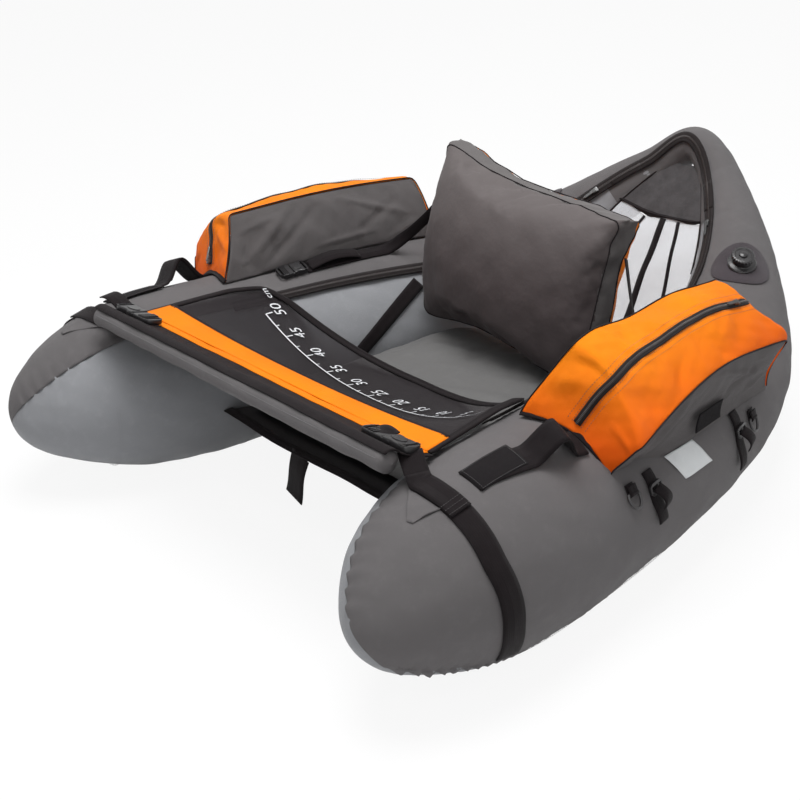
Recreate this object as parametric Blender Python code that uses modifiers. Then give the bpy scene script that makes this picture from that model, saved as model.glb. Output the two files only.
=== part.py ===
"""Float tube: two inflated side tubes that meet at a raised stern, joined by a
seat sling, a stabiliser bar, a see-through apron and two side bags.

Metres, +Z up. The open bow faces -Y, the stern +Y, and the origin lies on the
floor under the middle of the hull.
"""

import bisect
import math

import bmesh
import bpy
import numpy as np
from mathutils import Matrix, Vector

# Driving dimensions of the hull
hull_length = 1.102
half_beam = 0.541
tube_radius = 0.1457
stern_height = 0.412
cover_wall = 0.0015
fit_gap = 0.0003
seam_gap = 0.0006
lay_gap = 0.0008
floor_flat = 0.0062

# Inflation chamber inside each tube
bladder_wall = 0.0012
bladder_gap = 0.0014

# Nose and stern rounding
nose_length = 0.372
nose_power = 2.24
nose_hole_radius = 0.007
stern_round = 0.024

# Webbing, fabric and cord sizes shared by several pieces
fabric_wall = 0.0016
webbing_wall = 0.0020
mesh_wall = 0.0016

# Shape of each tube, bow to stern, as shares of the driving dimensions
station_shares = (0.0, 0.10, 0.28, 0.46, 0.64, 0.82, 0.93, 1.0)
spine_out_shares = (0.780, 0.731, 0.671, 0.619, 0.536, 0.405, 0.212, 0.009)
belly_lift_shares = (0.0, 0.0, 0.0, 0.0, 0.017, 0.209, 0.605, 0.885)
radius_shares = (0.907, 1.0, 0.951, 0.927, 0.878, 0.636, 0.328, 0.165)

# Seam angles in radians from the top of the tube, outward positive
inner_seam_station_shares = (0.0, 0.12, 0.30, 0.65, 1.0)
inner_seam_angles = (-0.75, -0.60, -0.55, -0.68, -0.88)
outer_seam_angles = (2.39, 2.42, 2.45, 2.49, 2.53)

SIDES = (("left", -1), ("right", 1))


# Scene set-up: two collections and one material for each piece
for old in list(bpy.data.objects):
    bpy.data.objects.remove(old, do_unlink=True)

parts = bpy.data.collections.new("float_tube")
bpy.context.scene.collection.children.link(parts)
cutters = bpy.data.collections.new("cutters")
bpy.context.scene.collection.children.link(cutters)

DARK_GREY = (0.105, 0.100, 0.100)
LIGHT_GREY = (0.300, 0.310, 0.325)
ORANGE = (0.900, 0.290, 0.030)
BLACK = (0.022, 0.020, 0.022)
MESH_BLACK = (0.035, 0.033, 0.035)
MESH_WHITE = (0.720, 0.730, 0.750)
CLEAR_GREY = (0.450, 0.460, 0.480)
STEEL = (0.550, 0.550, 0.560)
ALUMINIUM = (0.700, 0.710, 0.720)


def dress(obj, colour, roughness=0.7, metallic=0.0):
    """Give an object its own Principled BSDF material."""
    material = bpy.data.materials.new(obj.name)
    material.use_nodes = True
    shader = material.node_tree.nodes["Principled BSDF"]
    shader.inputs["Base Color"].default_value = (*colour, 1.0)
    shader.inputs["Roughness"].default_value = roughness
    shader.inputs["Metallic"].default_value = metallic
    obj.data.materials.clear()
    obj.data.materials.append(material)
    return obj


def add_mesh(name, bm, home=parts):
    """Turn a bmesh into a named object in one of the two collections."""
    mesh = bpy.data.meshes.new(name)
    bm.to_mesh(mesh)
    bm.free()
    obj = bpy.data.objects.new(name, mesh)
    home.objects.link(obj)
    return obj


def grid(columns, rows, place):
    """A bmesh grid whose vertices are placed by place(across, along), both 0 to 1."""
    bm = bmesh.new()
    bmesh.ops.create_grid(bm, x_segments=columns, y_segments=rows, size=0.5)
    for vert in bm.verts:
        across = min(max(vert.co.x + 0.5, 0.0), 1.0)
        along = min(max(vert.co.y + 0.5, 0.0), 1.0)
        vert.co = place(across, along)
    return bm


def sheet(name, columns, rows, place, wall):
    """A cloth-like shell: the placed grid with half its wall on each side."""
    obj = add_mesh(name, grid(columns, rows, place))
    thicken = obj.modifiers.new("wall", "SOLIDIFY")
    thicken.thickness = wall
    thicken.offset = 0.0
    thicken.use_even_offset = True
    return obj


def closed_surface(name, columns, rows, place):
    """A closed surface from a grid that meets itself, with outward faces."""
    bm = grid(columns, rows, place)
    bmesh.ops.remove_doubles(bm, verts=bm.verts, dist=fit_gap / 10)
    bmesh.ops.recalc_face_normals(bm, faces=bm.faces)
    return add_mesh(name, bm)


def shrink(obj, depth):
    """Move every point of a closed mesh inwards along its normal."""
    bm = bmesh.new()
    bm.from_mesh(obj.data)
    bm.normal_update()
    moves = [(vert, vert.normal * depth) for vert in bm.verts]
    for vert, move in moves:
        vert.co -= move
    bm.to_mesh(obj.data)
    bm.free()


def box(name, size, bevel, matrix, home=parts):
    """A box with rounded edges, placed by a matrix."""
    bm = bmesh.new()
    bmesh.ops.create_cube(bm, size=1.0)
    bmesh.ops.scale(bm, vec=Vector(size), verts=bm.verts)
    obj = add_mesh(name, bm, home)
    if bevel:
        rounding = obj.modifiers.new("edges", "BEVEL")
        rounding.width = bevel
        rounding.segments = 1
        rounding.limit_method = "ANGLE"
    obj.matrix_world = matrix
    return obj


def drum(name, radius, height, sides, matrix, top_radius=None, home=parts):
    """A cylinder or cone on its foot, placed by a matrix."""
    bm = bmesh.new()
    bmesh.ops.create_cone(
        bm, cap_ends=True, segments=sides, radius1=radius,
        radius2=radius if top_radius is None else top_radius, depth=height)
    bmesh.ops.translate(bm, vec=Vector((0.0, 0.0, height / 2)), verts=bm.verts)
    obj = add_mesh(name, bm, home)
    obj.data.shade_smooth()
    obj.data.set_sharp_from_angle(angle=math.radians(40))
    obj.matrix_world = matrix
    return obj


def flat_outline(name, outline, thickness, matrix, hole=()):
    """A flat piece: a closed outline with half its thickness on each side."""
    curve = bpy.data.curves.new(name, "CURVE")
    curve.dimensions = "2D"
    curve.fill_mode = "BOTH"
    curve.extrude = thickness / 2
    for loop in filter(None, (outline, hole)):
        spline = curve.splines.new("POLY")
        spline.points.add(len(loop) - 1)
        for knot, point in zip(spline.points, loop):
            knot.co = (*point, 0.0, 1.0)
        spline.use_cyclic_u = True
    obj = bpy.data.objects.new(name, curve)
    parts.objects.link(obj)
    obj.matrix_world = matrix
    return obj


def turn_about(obj, point):
    """Set an object's origin on a joint axis and leave its shape where it is."""
    placed = obj.matrix_world.copy()
    obj.data.transform(Matrix.Translation(-Vector(point)) @ placed)
    obj.matrix_world = Matrix.Translation(Vector(point))


def turned(name, profile, steps, matrix):
    """A ring turned from a closed profile of radius and height points."""
    bm = bmesh.new()
    verts = [bm.verts.new((radius, 0.0, height)) for radius, height in profile]
    for first, second in zip(verts, verts[1:] + verts[:1]):
        bm.edges.new((first, second))
    obj = add_mesh(name, bm)
    spin = obj.modifiers.new("turn", "SCREW")
    spin.angle = 2 * math.pi
    spin.steps = steps
    spin.render_steps = steps
    spin.use_merge_vertices = True
    spin.merge_threshold = fit_gap / 10
    spin.use_smooth_shade = False
    obj.matrix_world = matrix
    return obj


def cut(obj, cutter):
    """Subtract a cutter with a Boolean modifier."""
    cutter.hide_render = True
    cutter.display_type = "WIRE"
    step = obj.modifiers.new("cut", "BOOLEAN")
    step.operation = "DIFFERENCE"
    step.object = cutter


def tube_curve(name, points, radius, sides_level=2, cyclic=False):
    """A round bar or cord along points."""
    curve = bpy.data.curves.new(name, "CURVE")
    curve.dimensions = "3D"
    curve.bevel_depth = radius
    curve.bevel_resolution = sides_level
    curve.use_fill_caps = not cyclic
    spline = curve.splines.new("POLY")
    spline.points.add(len(points) - 1)
    for knot, point in zip(spline.points, points):
        knot.co = (*point, 1.0)
    spline.use_cyclic_u = cyclic
    obj = bpy.data.objects.new(name, curve)
    parts.objects.link(obj)
    return obj


def frame_matrix(origin, x_axis, z_axis):
    """A placing matrix from an origin, an X direction and a rough Z direction."""
    x_axis = Vector(x_axis).normalized()
    y_axis = Vector(z_axis).cross(x_axis).normalized()
    z_axis = x_axis.cross(y_axis)
    turn = Matrix((x_axis, y_axis, z_axis)).transposed().to_4x4()
    return Matrix.Translation(Vector(origin)) @ turn


class SmoothCurve:
    """A natural cubic spline through values at rising knots."""

    def __init__(self, knots, values):
        self.knots = np.array(knots)
        self.values = np.array(values)
        count = len(knots)
        gaps = np.diff(self.knots)
        slopes = np.diff(self.values) / gaps
        system = np.eye(count)
        target = np.zeros(count)
        for i in range(1, count - 1):
            system[i, i - 1] = gaps[i - 1]
            system[i, i] = 2 * (gaps[i - 1] + gaps[i])
            system[i, i + 1] = gaps[i]
            target[i] = 6 * (slopes[i] - slopes[i - 1])
        self.bends = np.linalg.solve(system, target)

    def __call__(self, share):
        i = int(np.clip(np.searchsorted(self.knots, share) - 1, 0, len(self.knots) - 2))
        gap = self.knots[i + 1] - self.knots[i]
        after = (share - self.knots[i]) / gap
        before = 1 - after
        bend = (before ** 3 - before) * self.bends[i] + (after ** 3 - after) * self.bends[i + 1]
        line = before * self.values[i] + after * self.values[i + 1]
        return float(line + bend * gap * gap / 6)


# Tube shape: every piece that lies on a tube is placed by these functions
spine_x = SmoothCurve(station_shares, [s * half_beam for s in spine_out_shares])
belly_z = SmoothCurve(station_shares, [s * stern_height for s in belly_lift_shares])
full_radius = SmoothCurve(station_shares, [s * tube_radius for s in radius_shares])
inner_seam = SmoothCurve(inner_seam_station_shares, inner_seam_angles)
outer_seam = SmoothCurve(inner_seam_station_shares, outer_seam_angles)


def share_of(y):
    """Station share of a place along the hull."""
    return y / hull_length + 0.5


def spine_point(share):
    """Centre of the right tube at a station."""
    lift = belly_z(share) - floor_flat
    return Vector((spine_x(share), (share - 0.5) * hull_length, lift + full_radius(share)))


def nose_factor(share):
    """How far the nose and stern rounding draw the tube in, 0 to 1."""
    bow = min(max(share * hull_length / nose_length, 0.0), 1.0)
    stern = min(max((1 - share) * hull_length / stern_round, 0.0), 1.0)
    bow_draw = (1 - (1 - bow) ** nose_power) ** (1 / nose_power)
    return bow_draw * math.sqrt(1 - (1 - stern) ** 2)


def tube_frame(share):
    """Centre, along, outward and upward directions, and radius at a station."""
    step = 0.002
    low = max(share - step, 0.0)
    high = min(share + step, 1.0)
    along = (spine_point(high) - spine_point(low)).normalized()
    out = along.cross(Vector((0, 0, 1))).normalized()
    up = out.cross(along)
    return spine_point(share), along, out, up, full_radius(share) * nose_factor(share)


def tube_point(side, share, angle, lift=0.0):
    """A point at an angle from the tube's top and a height over its surface."""
    centre, _, out, up, radius = tube_frame(share)
    reach = max(radius + lift, 0.0)
    point = centre + out * (reach * math.sin(angle)) + up * (reach * math.cos(angle))
    point.z = max(point.z, -min(lift, 0.0))
    point.x = max(point.x, seam_gap / 2 - min(lift, 0.0))
    return Vector((side * point.x, point.y, point.z))


def mirrored(side, point):
    """The same point on the left or the right of the hull."""
    return Vector((side * point[0], point[1], point[2]))


def hull_top(x, y):
    """Height of the tube's upper surface over a place in plan, or None beside it."""
    share = share_of(y)
    x = abs(x)
    for _ in range(8):
        centre, along, out, up, radius = tube_frame(min(max(share, 0.02), 0.98))
        reach = ((x - centre.x) * out.x + (y - centre.y) * out.y) / radius
        if abs(reach) >= 1.0:
            return None
        height = radius * math.sqrt(1 - reach * reach)
        point = centre + out * (reach * radius) + up * height
        share += (y - point.y) / hull_length
    return point.z


def rest_height(x, y, height, lift):
    """A height that never lets a sheet sink into the tubes."""
    top = hull_top(x, y)
    return height if top is None else max(height, top + lift)


nose_share = nose_length / hull_length
stern_share = stern_round / hull_length
nose_rows_share = 0.32
stern_rows_share = 0.14


def station(along):
    """Stations that crowd together where the nose and the stern turn in."""
    if along < nose_rows_share:
        return nose_share * (1 - math.cos(along / nose_rows_share * math.pi / 2))
    if along > 1 - stern_rows_share:
        back = (1 - along) / stern_rows_share
        return 1 - stern_share * 2 * (1 - math.cos(back * math.pi / 2))
    middle = (along - nose_rows_share) / (1 - nose_rows_share - stern_rows_share)
    return nose_share + middle * (1 - nose_share - 2 * stern_share)


hole_share = nose_hole_radius / (tube_radius * radius_shares[0])
hole_bow = 1 - (1 - hole_share ** nose_power) ** (1 / nose_power)
panel_start_share = math.acos(1 - hole_bow) / (math.pi / 2) * nose_rows_share
panel_end_share = 0.97
tube_rows = 20
panel_columns = 10


def panel_station(along):
    """Stations of the sewn panels, from the gathered nose to the stern tip."""
    return station(panel_start_share + along * (panel_end_share - panel_start_share))


panel_stations = [panel_station(row / tube_rows) for row in range(tube_rows + 1)]


def lay_point(side, share, angle, lift=0.0):
    """A point over the sewn panels, which run straight from row to row."""
    share = min(max(share, panel_stations[0]), panel_stations[-1])
    row = min(bisect.bisect_right(panel_stations, share) - 1, tube_rows - 1)
    low, high = panel_stations[row:row + 2]
    start = tube_point(side, low, angle, lift)
    return start.lerp(tube_point(side, high, angle, lift), (share - low) / (high - low))


def cover_angle(share, column):
    """Angle of one of the cover's lengthwise edges at a station."""
    start = inner_seam(share)
    return start + column * (outer_seam(share) - start) / panel_columns


def flat_point(side, share, angle, lift=0.0):
    """A point over the cover's own flats, which bridge the round tube."""
    width = cover_angle(share, 1) - cover_angle(share, 0)
    off_middle = (angle - inner_seam(share)) % width - width / 2
    radius = tube_frame(share)[4]
    flat_radius = radius * math.cos(width / 2) / math.cos(off_middle)
    return lay_point(side, share, angle, flat_radius - radius + lift)


def columns_between(share, start, end):
    """Angles from start to end that bend where the cover's edges are."""
    edges = [cover_angle(share, column) for column in range(panel_columns + 1)]
    return [start] + [angle for angle in edges if start < angle < end] + [end]


def stations_between(start, end):
    """The panels' own row stations between two places, both ends included."""
    return [start] + [share for share in panel_stations if start < share < end] + [end]


def lengthwise(side, share, angle):
    """Direction along the tube's surface, bow to stern."""
    step = 0.004
    ahead = lay_point(side, share + step, angle) - lay_point(side, share - step, angle)
    return ahead.normalized()


def tube_normal(side, share, angle, point=lay_point):
    """Outward direction of the tube's surface, taper and rise included."""
    step = 0.004
    outward = point(side, share, angle + step) - point(side, share, angle - step)
    normal = lengthwise(side, share, angle).cross(outward).normalized()
    return normal * -side


def wrap_lift(share, step, wall):
    """Height of a lying strap's middle whose flats bridge the round tube."""
    radius = tube_frame(share)[4]
    return (radius + lay_gap) / math.cos(step / 2) - radius + wall / 2


def panel(name, side, first_edge, last_edge):
    """One sewn panel of a tube between two seam angles."""
    def place(across, along):
        share = panel_station(along)
        radius = max(tube_frame(share)[4], nose_hole_radius)
        trim = seam_gap / 2 / radius
        start = first_edge(share) + trim
        end = last_edge(share) - trim
        return tube_point(side, share, start + across * (end - start), -cover_wall / 2)
    return sheet(name, panel_columns, tube_rows, place, cover_wall)


# Inflation valves: where each one stands on its tube
valve_station_share = 0.8630
valve_angle = 0.136
valve_patch_radius = 0.046
valve_patch_wall = 0.0015
valve_patch_ease = 0.0010
valve_flange_radius = 0.0225
valve_flange_wall = 0.003
valve_neck_radius = 0.015
valve_bore_radius = 0.010
valve_neck_height = 0.010
valve_cap_radius = 0.0185
valve_cap_height = 0.006
valve_cap_taper_share = 0.8
valve_reach = 0.020
valve_neck_depth = 0.012
valve_sides = 20
valve_hinge_gap = 0.001


def valve_matrix(side, lift):
    """Placing matrix with Z along the valve and X along the tube."""
    normal = tube_normal(side, valve_station_share, valve_angle)
    foot = lay_point(side, valve_station_share, valve_angle) + normal * lift
    return frame_matrix(foot, lengthwise(side, valve_station_share, valve_angle), normal)


def valve_spot(spread, turn):
    """Station and angle of a place round the valve, seen along its axis."""
    seat = valve_matrix(1, 0.0).inverted()
    radius = tube_frame(valve_station_share)[4]
    stretch = lengthwise(1, valve_station_share, valve_angle).y
    share, angle = valve_station_share, valve_angle
    for _ in range(12):
        spot = seat @ lay_point(1, share, angle)
        share += (spread * math.cos(turn) - spot.x) * stretch / hull_length
        angle += (spread * math.sin(turn) + spot.y) / radius
    return share, angle


def valve_bed():
    """How far the tube's surface rises past the plane of the flange."""
    foot = lay_point(1, valve_station_share, valve_angle)
    normal = tube_normal(1, valve_station_share, valve_angle)
    rim = [
        lay_point(1, *valve_spot(valve_flange_radius, turn * math.pi / 4)) - foot
        for turn in range(8)]
    return max(0.0, max(point.dot(normal) for point in rim))


bladder_rows = tube_rows + 2
bladder_columns = panel_columns
bladder_depth = cover_wall / 2 + bladder_gap + bladder_wall / 2

# Hull panels: dark cover over the top and outside, light hull under and inside
for side_name, side in SIDES:
    cutter_radius = (valve_neck_radius + fit_gap) / math.cos(math.pi / valve_sides)
    valve_cutter = drum(
        f"valve_cutter_{side_name}", cutter_radius, 2 * valve_reach, valve_sides,
        valve_matrix(side, -valve_reach), home=cutters)
    cover = panel(f"tube_cover_{side_name}", side, inner_seam, outer_seam)
    cut(cover, valve_cutter)
    dress(cover, DARK_GREY)
    hull = panel(
        f"tube_hull_{side_name}", side, outer_seam,
        lambda share: 2 * math.pi + inner_seam(share))
    dress(hull, LIGHT_GREY, 0.55)

    def bladder_place(across, along, side=side):
        row = round(along * bladder_rows)
        share = panel_station(min(max(row - 1, 0), tube_rows) / tube_rows)
        if row in (0, bladder_rows):
            centre = tube_frame(share)[0]
            return mirrored(side, (max(centre.x, cover_wall), centre.y, centre.z))
        start = inner_seam(share)
        middle = outer_seam(share)
        end = start + 2 * math.pi
        if across < 0.5:
            angle = start + 2 * across * (middle - start)
        else:
            angle = middle + (2 * across - 1) * (end - middle)
        return tube_point(side, share, angle, -cover_wall / 2)

    bladder = closed_surface(
        f"bladder_{side_name}", bladder_columns, bladder_rows, bladder_place)
    shrink(bladder, bladder_depth)
    thicken = bladder.modifiers.new("wall", "SOLIDIFY")
    thicken.thickness = bladder_wall
    thicken.offset = 0.0
    cut(bladder, valve_cutter)
    dress(bladder, CLEAR_GREY, 0.4)


# Main zippers along the inner top seam, with a slider parked at the stern
zip_start_share = 0.30
zip_end_share = 0.955
zip_width = 0.018
zip_seat = 0.0012
slider_length = 0.012
slider_width = 0.009
slider_height = 0.005
slider_station_share = 0.915
slider_travel = 0.040

zip_stations = stations_between(zip_start_share, zip_end_share)
zip_rows = len(zip_stations) - 1

for side_name, side in SIDES:
    def zip_place(across, along, side=side):
        share = zip_stations[round(along * zip_rows)]
        radius = tube_frame(share)[4]
        angle = inner_seam(share) + (across - 0.5) * zip_width / radius
        return lay_point(side, share, angle, zip_seat + webbing_wall / 2)

    main_zip = sheet(f"main_zipper_{side_name}", 2, zip_rows, zip_place, webbing_wall)
    dress(main_zip, BLACK, 0.6)

    slider_lift = zip_seat + webbing_wall + lay_gap + slider_height / 2
    here = lay_point(side, slider_station_share, inner_seam(slider_station_share), slider_lift)
    next_station = slider_station_share - slider_travel / hull_length
    there = lay_point(side, next_station, inner_seam(next_station), slider_lift)
    normal = tube_normal(side, slider_station_share, inner_seam(slider_station_share))
    seat = frame_matrix(here, there - here, normal)
    slider = box(
        f"main_zip_slider_{side_name}", (slider_length, slider_width, slider_height),
        slider_height / 4, seat)
    dress(slider, STEEL, 0.3, 1.0)


# Valves: reinforcing patch, threaded base with its bore, and a hinged cap
for side_name, side in SIDES:
    def patch_place(across, along, side=side):
        hole = valve_neck_radius + 3 * fit_gap
        spread = hole + (valve_patch_radius - hole) * along
        share, angle = valve_spot(spread, across * 2 * math.pi)
        lift = lay_gap + valve_patch_wall / 2 + along * valve_patch_ease
        normal = tube_normal(side, valve_station_share, valve_angle)
        return lay_point(side, share, angle) + normal * lift

    bm = grid(16, 3, patch_place)
    bmesh.ops.remove_doubles(bm, verts=bm.verts, dist=fit_gap / 10)
    patch = add_mesh(f"valve_patch_{side_name}", bm)
    thicken = patch.modifiers.new("wall", "SOLIDIFY")
    thicken.thickness = valve_patch_wall
    thicken.offset = 0.0
    dress(patch, (0.075, 0.070, 0.075), 0.5)

    seat_lift = lay_gap + valve_patch_wall + lay_gap + valve_bed()
    neck_top = valve_flange_wall + valve_neck_height
    base = turned(
        f"valve_base_{side_name}",
        (
            (valve_bore_radius, neck_top),
            (valve_neck_radius, neck_top),
            (valve_neck_radius, valve_flange_wall),
            (valve_flange_radius, valve_flange_wall),
            (valve_flange_radius, 0.0),
            (valve_neck_radius, 0.0),
            (valve_neck_radius, -valve_neck_depth),
            (valve_bore_radius, -valve_neck_depth),
        ),
        valve_sides, valve_matrix(side, seat_lift))
    dress(base, BLACK, 0.35)

    cap_seat = valve_matrix(side, seat_lift + neck_top + fit_gap)
    cap = drum(
        f"valve_cap_{side_name}", valve_cap_radius, valve_cap_height, valve_sides, cap_seat,
        top_radius=valve_cap_radius * valve_cap_taper_share)
    dress(cap, BLACK, 0.35)
    hinge_out = Vector((-valve_cap_radius - valve_hinge_gap, 0.0, fit_gap))
    hinge = valve_matrix(side, seat_lift + neck_top) @ hinge_out
    bpy.context.view_layer.update()
    turn_about(cap, hinge)


# Fabric decks that hang between the two tubes: seat sling, cargo mesh, stern panel
deck_lift = 0.0007
deck_station_shares = (0.20, 0.30, 0.45, 0.62, 0.80, 0.92, 1.0)
deck_angles = (-1.66, -1.76, -1.90, -1.92, -1.78, -1.55, -1.40)
deck_sag_shares = (0.010, 0.030, 0.055, 0.070, 0.150, 0.035, 0.0)
deck_angle = SmoothCurve(deck_station_shares, deck_angles)
deck_sag = SmoothCurve(deck_station_shares, [s * stern_height for s in deck_sag_shares])


def deck_point(share, across, lift=0.0):
    """A point of the hanging decks; across runs -1 to 1 from tube to tube."""
    edge = lay_point(1, share, deck_angle(share), deck_lift)
    drop = deck_sag(share) * (1 - across * across)
    return Vector((edge.x * across, edge.y, edge.z - drop + lift))


sling_front_share = 0.2532
sling_rear_share = 0.6588
cargo_front_share = 0.6606
cargo_rear_share = 0.9265
panel_front_share = 0.9283
panel_rear_share = 0.9764


def deck(name, first, last, columns, rows, wall):
    """One sheet of fabric hung between the tubes."""
    def place(across, along):
        return deck_point(first + along * (last - first), 2 * across - 1)
    return sheet(name, columns, rows, place, wall)


dress(deck("seat_sling", sling_front_share, sling_rear_share, 10, 8, fabric_wall), BLACK, 0.8)
dress(deck("cargo_mesh", cargo_front_share, cargo_rear_share, 8, 8, mesh_wall), MESH_WHITE, 0.8)
dress(deck("stern_panel", panel_front_share, panel_rear_share, 6, 4, fabric_wall), DARK_GREY)


# Seat cushion: a crowned pad on the sling, drawn in between its corners
seat_front_share = -0.2450
seat_rear_share = 0.1361
seat_front = seat_front_share * hull_length
seat_rear = seat_rear_share * hull_length
seat_top = 0.163
seat_crown = 0.016
seat_side_gap = 0.006
seat_rest_gap = 0.0008
seat_draw = 0.008
seat_cuts = 4


def cage(name, cuts, shape, levels=1):
    """A cube cut into a coarse cage, shaped by shape(a, b, c) from -1 to 1."""
    bm = bmesh.new()
    bmesh.ops.create_cube(bm, size=2.0)
    bmesh.ops.subdivide_edges(bm, edges=bm.edges, cuts=cuts, use_grid_fill=True)
    for vert in bm.verts:
        vert.co = shape(*vert.co)
    if bm.calc_volume(signed=True) < 0:
        bmesh.ops.reverse_faces(bm, faces=bm.faces)
    obj = add_mesh(name, bm)
    obj.data.shade_smooth()
    if levels:
        soften = obj.modifiers.new("soft form", "SUBSURF")
        soften.levels = levels
        soften.render_levels = levels
    return obj


def seat_shape(a, b, c):
    """Shape of the seat cushion: a across, b front to rear, c bottom to top."""
    y = seat_front + (b + 1) / 2 * (seat_rear - seat_front)
    y -= seat_draw * b * (1 - a * a) * abs(b)
    share = share_of(y)
    reach = spine_x(share) - full_radius(share) - seat_side_gap
    x = a * (reach - seat_draw * (1 - b * b) * abs(a))
    edge = lay_point(1, share, deck_angle(share), deck_lift)
    flat_across = min(abs(x) / edge.x, 1.0)
    bottom = deck_point(share, flat_across).z + fabric_wall / 2 + seat_rest_gap
    top = seat_top - seat_crown * (a ** 4 + b ** 4)
    return Vector((x, y, bottom + (c + 1) / 2 * (top - bottom)))


dress(cage("seat_cushion", seat_cuts, seat_shape), (0.120, 0.116, 0.115), 0.8)


# Backrest cushion: stands on the seat, leans back and folds forward about its foot
back_foot_share = 0.0690
back_foot_y = back_foot_share * hull_length
back_foot_rise = 0.051
back_foot_z = seat_top + back_foot_rise
back_low = 0.0540
back_inset = 0.006
back_high = 0.236
back_low_half_share = 0.3031
back_half_share = 0.3752
back_low_half = back_low_half_share * half_beam
back_half = back_half_share * half_beam
back_flare = 0.055
back_gusset = 0.052
back_crown = 0.030
back_draw = 0.010
back_tilt = math.radians(17)
back_lean = math.radians(4.5)
back_cuts = 4


def back_shape(a, b, c):
    """Shape of the backrest: a across, b front to rear, c foot to head."""
    height = -back_low + (c + 1) / 2 * (back_high + back_low)
    flare = min(max((height + back_low) / (back_low + back_flare), 0.0), 1.0)
    half = back_low_half + (back_half - back_low_half) * math.sin(flare * math.pi / 2)
    x = a * (half - back_draw * (1 - c * c) * abs(a))
    height -= back_draw * c * abs(c) * (1 - a * a)
    dome = math.sqrt(max(1 - a ** 4, 0.0)) * math.sqrt(max(1 - c ** 4, 0.0))
    thick = back_inset + b * (back_gusset / 2 + back_crown * dome)
    return Vector((x, thick, height))


backrest = dress(cage("backrest_cushion", back_cuts, back_shape), (0.085, 0.080, 0.080), 0.8)
backrest.data.transform(Matrix.Rotation(back_lean, 4, "Y"))
backrest.rotation_euler = (-back_tilt, 0.0, 0.0)
backrest.location = (0.0, back_foot_y, back_foot_z)


# Stabiliser bar across the bow, inside its sewn sleeve
bar_place_share = -0.3838
bar_y = bar_place_share * hull_length
bar_rise = 0.0026
bar_z = 2 * tube_radius - floor_flat + bar_rise
bar_radius = 0.0125
sleeve_bore = bar_radius + fit_gap
sleeve_radius = 0.0150
sleeve_half_share = 0.6118
sleeve_half = sleeve_half_share * half_beam
sleeve_end = 0.004
bar_half = sleeve_half - sleeve_end
bar_sides = 16
across_hull = frame_matrix((0, bar_y, bar_z), (0, 1, 0), (1, 0, 0))

bar = drum(
    "front_bar", bar_radius, 2 * bar_half, bar_sides,
    across_hull @ Matrix.Translation((0, 0, -bar_half)))
dress(bar, ALUMINIUM, 0.3, 1.0)
sleeve = turned(
    "bar_sleeve",
    (
        (sleeve_bore, sleeve_half),
        (sleeve_radius, sleeve_half),
        (sleeve_radius, -sleeve_half),
        (sleeve_bore, -sleeve_half),
    ),
    bar_sides, across_hull)
dress(sleeve, DARK_GREY, 0.75)


# Front band: black webbing behind the sleeve, resting on both tubes at its ends
band_front_gap = 0.0005
band_front = bar_y + sleeve_radius + band_front_gap
band_depth = 0.050
band_rear = band_front + band_depth
band_overhang = 0.004
band_half = sleeve_half + band_overhang
band_front_drop = 0.0015
band_rear_drop = 0.018
band_front_z = bar_z - band_front_drop
band_rear_z = bar_z - band_rear_drop
band_columns = 18


def band_height(y):
    """Height of the taut band between the tubes."""
    along = (y - band_front) / (band_rear - band_front)
    return band_front_z + along * (band_rear_z - band_front_z)


def band_middle(x, y):
    """Height of the band's middle, over the tubes where they rise to it."""
    return rest_height(x, y, band_height(y), lay_gap + webbing_wall / 2)


def band_place(across, along):
    x = (2 * across - 1) * band_half
    y = band_front + along * (band_rear - band_front)
    return Vector((x, y, band_middle(x, y)))


dress(sheet("front_band", band_columns, 3, band_place, webbing_wall), BLACK, 0.7)


# Side-release buckles: the socket hangs on the tube strap, the plug on the band
buckle_set = 0.0195
buckle_y = band_front + buckle_set
socket_length = 0.047
plug_length = 0.044
buckle_place_share = 0.6174
buckle_outer = buckle_place_share * half_beam
buckle_split = buckle_outer - socket_length
buckle_inner = buckle_split - plug_length
buckle_width = 0.032
buckle_thick = 0.011
buckle_seat = 0.0005
buckle_edge = 0.002
plug_tongue = 0.018
plug_wall = 0.0055
plug_prong = 0.007
tunnel_wall = 0.0016
prong_gap = 0.0008

for side_name, side in SIDES:
    inner_z = band_middle(buckle_inner, buckle_y)
    outer_z = band_middle(buckle_outer, buckle_y)
    rise = Vector((buckle_outer - buckle_inner, 0.0, outer_z - inner_z))
    outward = mirrored(side, rise)
    split = (buckle_split - buckle_inner) / (buckle_outer - buckle_inner)
    at_split = mirrored(side, Vector((buckle_inner, buckle_y, inner_z)) + rise * split)
    ahead = Vector((0, band_rear - band_front, band_rear_z - band_front_z))
    upward = outward.cross(ahead) * side
    at_split += upward.normalized() * (webbing_wall / 2 + buckle_seat + buckle_thick / 2)
    seat = frame_matrix(at_split, outward, upward)

    socket = box(
        f"buckle_socket_{side_name}", (socket_length, buckle_width, buckle_thick),
        buckle_edge, seat @ Matrix.Translation((socket_length / 2, 0, 0)))
    tunnel_depth = plug_tongue + 2 * prong_gap
    tunnel = box(
        f"buckle_tunnel_{side_name}",
        (2 * tunnel_depth, buckle_width - 4 * tunnel_wall, buckle_thick - 2 * tunnel_wall),
        0.0, seat, home=cutters)
    cut(socket, tunnel)
    dress(socket, BLACK, 0.35)

    body = plug_length - fit_gap
    half = buckle_width / 2
    inside = half - 2 * tunnel_wall - prong_gap
    outline = (
        (-body, -half), (-fit_gap, -half), (-fit_gap, -inside), (plug_tongue, -inside),
        (plug_tongue, -inside + plug_prong), (0.0, -inside + plug_prong),
        (0.0, inside - plug_prong), (plug_tongue, inside - plug_prong),
        (plug_tongue, inside), (-fit_gap, inside), (-fit_gap, half), (-body, half),
    )
    plug = flat_outline(f"buckle_plug_{side_name}", outline, plug_wall, seat)
    dress(plug, BLACK, 0.35)


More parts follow.
